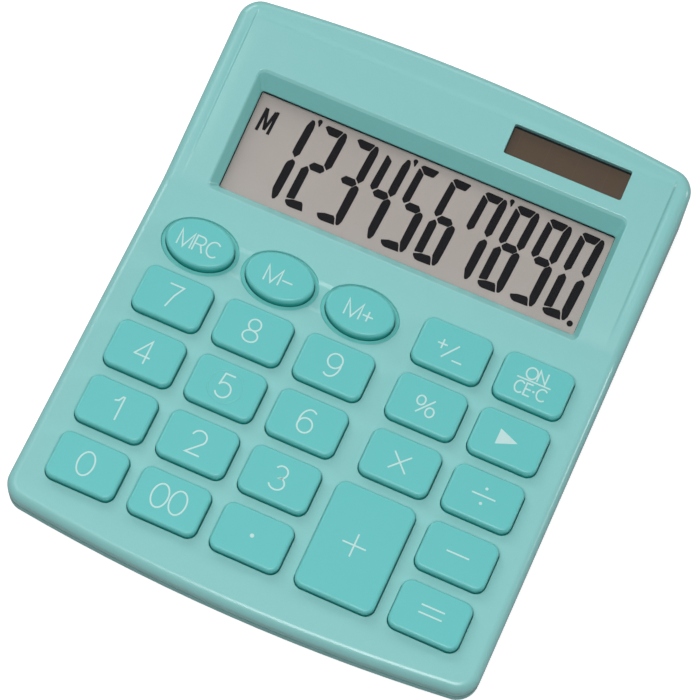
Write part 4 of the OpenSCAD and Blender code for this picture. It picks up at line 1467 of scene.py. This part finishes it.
def solar_finish() -> bpy.types.Material:
    """Dark film of the solar cell with its thin dividing lines.

    Returns:
        The material.
    """
    material, g = new_material("solar_film")
    x = g.node("ShaderNodeSeparateXYZ", None, {0: g.place()})
    cell = g.node("ShaderNodeMath", {"operation": "FRACT"}, {0: (x + 1.0) / SOLAR_PITCH + 0.1})
    line = 1.0 - g.node("ShaderNodeMath", {"operation": "ABSOLUTE"}, {0: cell - 0.5}).above(0.0, 0.02)
    broad = g.noise(240.0, 3.0)
    colour = g.mix(broad.above(0.3, 0.7) * 0.3, linear(84, 67, 51), linear(70, 55, 43))
    colour = g.mix(line * 0.12, colour, linear(120, 105, 92))
    height = line + g.noise(5000.0) * 0.2
    bump = g.node("ShaderNodeBump", None, {"Strength": 0.3, "Distance": 1e-5, "Height": height})
    g.feed(material.node_tree.nodes["Principled BSDF"],
           {"Base Color": colour, "Roughness": 0.26 + broad * 0.1, "Normal": bump})
    return material


TEAL, TEAL_2 = linear(146, 209, 207), linear(141, 206, 204)

FINISHES: dict[str, Finish] = {
    "case": Finish("case_plastic", TEAL, TEAL_2, 0.23, 11000, 6, mottle_share=0.3),
    # Case plastic painted darker and deeper: painted shade in the recess round the oval keys.
    "recess": Finish("recess_painted_shade", linear(104, 196, 192), linear(98, 190, 186), 0.36, 11000, 8),
    # Case plastic painted darker: painted shade on the bezel's top and side slopes and its lip wall.
    "bezel": Finish("bezel_painted_shade", linear(122, 191, 188), linear(118, 187, 184), 0.3, 11000, 6),
    # Key plastic with painted shade: its sides turn deeper teal towards the keypad face, where the gap round the key
    # lies in shade.
    "key": Finish("key_plastic", linear(109, 202, 200), linear(104, 199, 197), 0.3, 14000, 6,
                  side=linear(14, 168, 160), gap_shade_range=(0.2, 1.3), specular=0.4),
    "cover": Finish("cover_plastic", TEAL, TEAL_2, 0.5, 6000, 30),
    "ink": Finish("legend_ink", linear(196, 230, 228), linear(188, 225, 222), 0.5, 16000, 4, mottle=900),
    "lcd_ink": Finish("lcd_dark", linear(30, 30, 33), linear(25, 25, 29), 0.6, 16000, 2, specular=0.0),
    # Near-black painted shadow line round the display window and the solar window.
    "shadow_line": Finish("painted_shadow_line", linear(16, 30, 32), linear(12, 24, 26), 0.6, 9000, 2, specular=0.1),
    "window": Finish("window_acrylic", (1.0, 1.0, 1.0), (0.93, 0.93, 0.93), 0.1, 2500, 1, rough_spread=0.04, metal=1.0,
                     alpha=0.025),
    "rubber": Finish("dome_rubber", (0.42, 0.44, 0.44), (0.36, 0.38, 0.38), 0.7, 9000, 20),
    "feet": Finish("feet_rubber", (0.03, 0.03, 0.032), (0.05, 0.05, 0.05), 0.85, 7000, 40),
    "board": Finish("board_laminate", (0.03, 0.16, 0.07), (0.045, 0.2, 0.09), 0.42, 3500, 30, coat=0.3, worn=0.25),
    "resin": Finish("chip_resin", (0.012, 0.012, 0.013), (0.03, 0.03, 0.03), 0.32, 2500, 20),
    "fired": Finish("capacitor_body", (0.45, 0.34, 0.2), (0.36, 0.27, 0.15), 0.5, 6000, 20),
    "clamp": Finish("clamp_plastic", (0.75, 0.76, 0.75), (0.7, 0.71, 0.7), 0.5, 6000, 20),
    "ribbon": Finish("ribbon_film", (0.32, 0.17, 0.04), (0.4, 0.22, 0.06), 0.3, 5000, 10, brushed=True),
    "foam": Finish("pad_foam", (0.05, 0.05, 0.055), (0.08, 0.08, 0.085), 0.95, 4500, 120),
    "steel": Finish("cell_steel", (0.62, 0.62, 0.61), (0.5, 0.5, 0.49), 0.28, 5000, 6, metal=1.0, brushed=True,
                    worn=0.1),
    "plated": Finish("contact_plating", (0.66, 0.62, 0.5), (0.55, 0.5, 0.38), 0.3, 6000, 8, metal=1.0, brushed=True,
                     worn=0.15),
    "screw": Finish("screw_steel", (0.42, 0.42, 0.43), (0.3, 0.3, 0.31), 0.35, 8000, 10, metal=1.0, worn=0.3),
    "wire_red": Finish("wire_red", (0.45, 0.02, 0.02), (0.38, 0.015, 0.015), 0.45, 8000, 10),
    "wire_black": Finish("wire_black", (0.015, 0.015, 0.016), (0.03, 0.03, 0.03), 0.45, 8000, 10),
    "lcd": Finish("lcd_reflector", linear(186, 178, 173), linear(178, 170, 165), 0.5, 20000, 2, mottle=60,
                  mottle_share=0.5, specular=0.05),
}
"""Finishes of the pieces."""

NODE_FINISHES: dict[str, str] = {
    "rear_cover": "cover", "dome_sheet": "rubber", "circuit_board": "board", "chip_blob": "resin",
    "chip_capacitors": "fired", "display_window": "window", "lcd_clamp": "clamp",
    "display_ribbon": "ribbon", "solar_pad": "foam", "button_cell": "steel",
    "contact_positive": "plated", "contact_negative": "plated", "solar_wire_red": "wire_red",
    "solar_wire_black": "wire_black", "cell_wire_red": "wire_red", "cell_wire_black": "wire_black",
    "case_screws": "screw", "board_screws": "screw", "clamp_screws": "screw", "rubber_feet": "feet",
    "lcd_glass": "lcd", "solar_cell": "solar",
}
"""Finish of each CAD node that keeps its own shape."""


# ---- stage


@dataclass(frozen=True)
class Lamp:
    """A square lamp that points at the origin."""

    name: str
    place: Triple
    size: float
    power: float

    def make(self) -> None:
        """Adds the lamp to the scene."""
        data = bpy.data.lights.new(self.name, "AREA")
        data.shape = "RECTANGLE"
        data.size = data.size_y = self.size
        data.energy = self.power
        obj = add_object(self.name, data)
        obj.location = self.place
        obj.rotation_mode = "QUATERNION"
        obj.rotation_quaternion = (-Vector(self.place)).to_track_quat("-Z", "Y")


@dataclass(frozen=True)
class Camera:
    """Camera with its place, turn and lens."""

    place: Triple = (0.068364, -0.219717, 0.536160)
    right: Triple = (0.913611, 0.403789, 0.047636)
    up: Triple = (-0.388675, 0.832947, 0.393868)
    lens: float = 141.303
    sensor: float = 36.0
    shift: Pair = (0.00191, -0.00023)
    clip: Pair = (0.05, 10.0)

    def make(self) -> None:
        """Adds the camera to the scene."""
        data = bpy.data.cameras.new("camera")
        data.sensor_width, data.lens = self.sensor, self.lens
        data.shift_x, data.shift_y = self.shift
        data.clip_start, data.clip_end = self.clip
        right, up = Vector(self.right).normalized(), Vector(self.up).normalized()
        back = right.cross(up).normalized()
        turn = Matrix((right, back.cross(right), back)).transposed()
        obj = add_object("camera", data)
        obj.matrix_world = Matrix.Translation(Vector(self.place)) @ turn.to_4x4()
        bpy.context.scene.camera = obj


LAMPS: tuple[Lamp, ...] = (
    Lamp("rear_left_lamp", (-0.484, 0.339, 0.462), 0.26, 1.13),
    Lamp("rear_lamp", (-0.052, 0.589, 0.462), 0.35, 0.66),
    Lamp("right_lamp", (0.648, 0.288, 0.244), 0.14, 0.80),
    Lamp("high_left_lamp", (-0.369, -0.065, 0.650), 0.35, 0.80),
    Lamp("high_front_lamp", (0.036, -0.168, 0.448), 0.22, 1.22),
)
"""Lamps of the scene."""


@dataclass(frozen=True)
class Surroundings:
    """White world and floor; the floor lies just under the feet."""

    white: tuple[float, ...] = (1.0, 1.0, 1.0, 1.0)
    grey: tuple[float, ...] = (0.45, 0.45, 0.45, 1.0)
    world_light: float = 0.12
    floor_glow: float = 0.8
    half: float = 2.0
    drop: float = 0.0001

    def make_world(self) -> None:
        """White surroundings: full white to the camera, softer to the object."""
        world = bpy.data.worlds.new("surroundings")
        world.use_nodes = True
        bpy.context.scene.world = world
        world.node_tree.nodes.clear()
        g = Graph(world.node_tree)
        light, white = (g.node("ShaderNodeBackground", None, {"Color": self.white, "Strength": s})
                        for s in (self.world_light, 1.0))
        g.seen("ShaderNodeOutputWorld", light, white)

    def make_floor(self) -> None:
        """White floor that keeps the object's shadow; only the camera sees its glow."""
        mesh = bpy.data.meshes.new("floor")
        corners = [(x * self.half, y * self.half, -self.drop) for x, y in ((-1, -1), (1, -1), (1, 1), (-1, 1))]
        mesh.from_pydata(corners, [], [(0, 1, 2, 3)])
        floor = add_object("floor", mesh)
        material, g = new_material("floor_white")
        material.node_tree.nodes.clear()
        matte = g.node("ShaderNodeBsdfDiffuse", None, {"Color": self.grey})
        lit = g.node("ShaderNodeEmission", None, {"Color": self.white, "Strength": self.floor_glow})
        g.seen("ShaderNodeOutputMaterial", matte, g.node("ShaderNodeAddShader", None, {0: matte, 1: lit}))
        mesh.materials.append(material)


# ---- object


@dataclass
class Calculator:
    """The calculator's pieces, built in order."""

    case: CaseSizes = field(default_factory=CaseSizes)
    keys: KeySizes = field(default_factory=KeySizes)
    disp: DisplaySizes = field(default_factory=DisplaySizes)
    digits: DigitSizes = field(default_factory=DigitSizes)
    materials: dict[str, bpy.types.Material] = field(default_factory=dict)

    def __post_init__(self) -> None:
        """Makes the faces and the materials."""
        self.surface = TopSurface(self.case, self.keys)
        self.materials = {name: finish.make() for name, finish in FINISHES.items()}
        self.materials["solar"] = solar_finish()

    def dress(self, obj: bpy.types.Object, finish: str, body: str) -> bpy.types.Object:
        """Gives a new piece its finishes, body and slot.

        Args:
            obj: the piece.
            finish: names of its finishes.
            body: CAD body that it rides on.

        Returns:
            The piece.
        """
        for name in finish.split():
            obj.data.materials.append(self.materials[name])
        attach(obj, body)
        LOG.info("%s: %d faces", obj.name, len(obj.data.polygons))
        return obj

    def make_case(self) -> None:
        """Upper case."""
        obj = FrontCase(self.case, self.keys, self.disp, self.surface).build()
        # Slots 1 and 2 are the case plastic painted darker: painted shade in the oval recesses and on the bezel's top
        # and side slopes and lip wall.
        self.dress(obj, "case recess bezel", "case")
        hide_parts("front_case")

    def make_keys(self) -> None:
        """Key caps and their legends."""
        for key in Key:
            cap = key_cap(key, self.keys, self.case.wall, self.surface.pad)
            self.dress(cap, "key", key.node)
            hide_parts(key.node)
            x, y, _, _ = key.place(self.keys)
            z = self.keys.height + self.keys.print_lift
            legend = key_legend(key, self.keys).build("legend_" + key.node, self.surface.pad, x, y, z)
            self.dress(legend, "ink", key.node)
        self.dress(locating_ring(self.keys, self.surface.pad), "key", Key.D5.node)

    def make_display(self) -> None:
        """Digits of the display and painted shadow lines round its window and the solar window."""
        d = self.disp
        # Painted shadow lines: dark strips along the top and sides of the display window and the solar window, where
        # their walls shade them.
        window = window_shadow_line(d.lcd_x, d.lcd_from_fold, d.lcd_w, d.lcd_l, d.shadow_line)
        solar = window_shadow_line(d.solar_x, d.solar_from_fold, d.solar_w, d.solar_l, d.solar_shadow_line)
        for name, marks, z, finish in (
                ("display_digits", display_marks(self.digits), -d.glass_depth + self.keys.print_lift, "lcd_ink"),
                ("window_shadow_line", window, d.shadow_line_lift - d.window_depth, "shadow_line"),
                ("solar_shadow_line", solar, d.shadow_line_lift - (d.solar_depth + d.solar_under), "shadow_line")):
            self.dress(marks.build(name, self.surface.disp, 0, 0, z), finish, "case")

    def dress_nodes(self) -> None:
        """Finishes of the CAD nodes that keep their shape."""
        for node, finish in NODE_FINISHES.items():
            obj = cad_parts[node]
            obj.data.materials.clear()
            obj.data.materials.append(self.materials[finish])
            LOG.info("%s: %s", node, finish)


def main() -> None:
    """Builds the pieces, lights and camera in order."""
    logging.basicConfig(level=logging.INFO, format="%(name)s: %(message)s")
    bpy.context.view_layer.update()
    calculator = Calculator()
    calculator.make_case()
    calculator.make_keys()
    calculator.make_display()
    calculator.dress_nodes()
    for lamp in LAMPS:
        lamp.make()
    surroundings = Surroundings()
    surroundings.make_world()
    surroundings.make_floor()
    Camera().make()
    bpy.context.scene.view_settings.view_transform = "Standard"


if __name__ == "__main__":
    main()
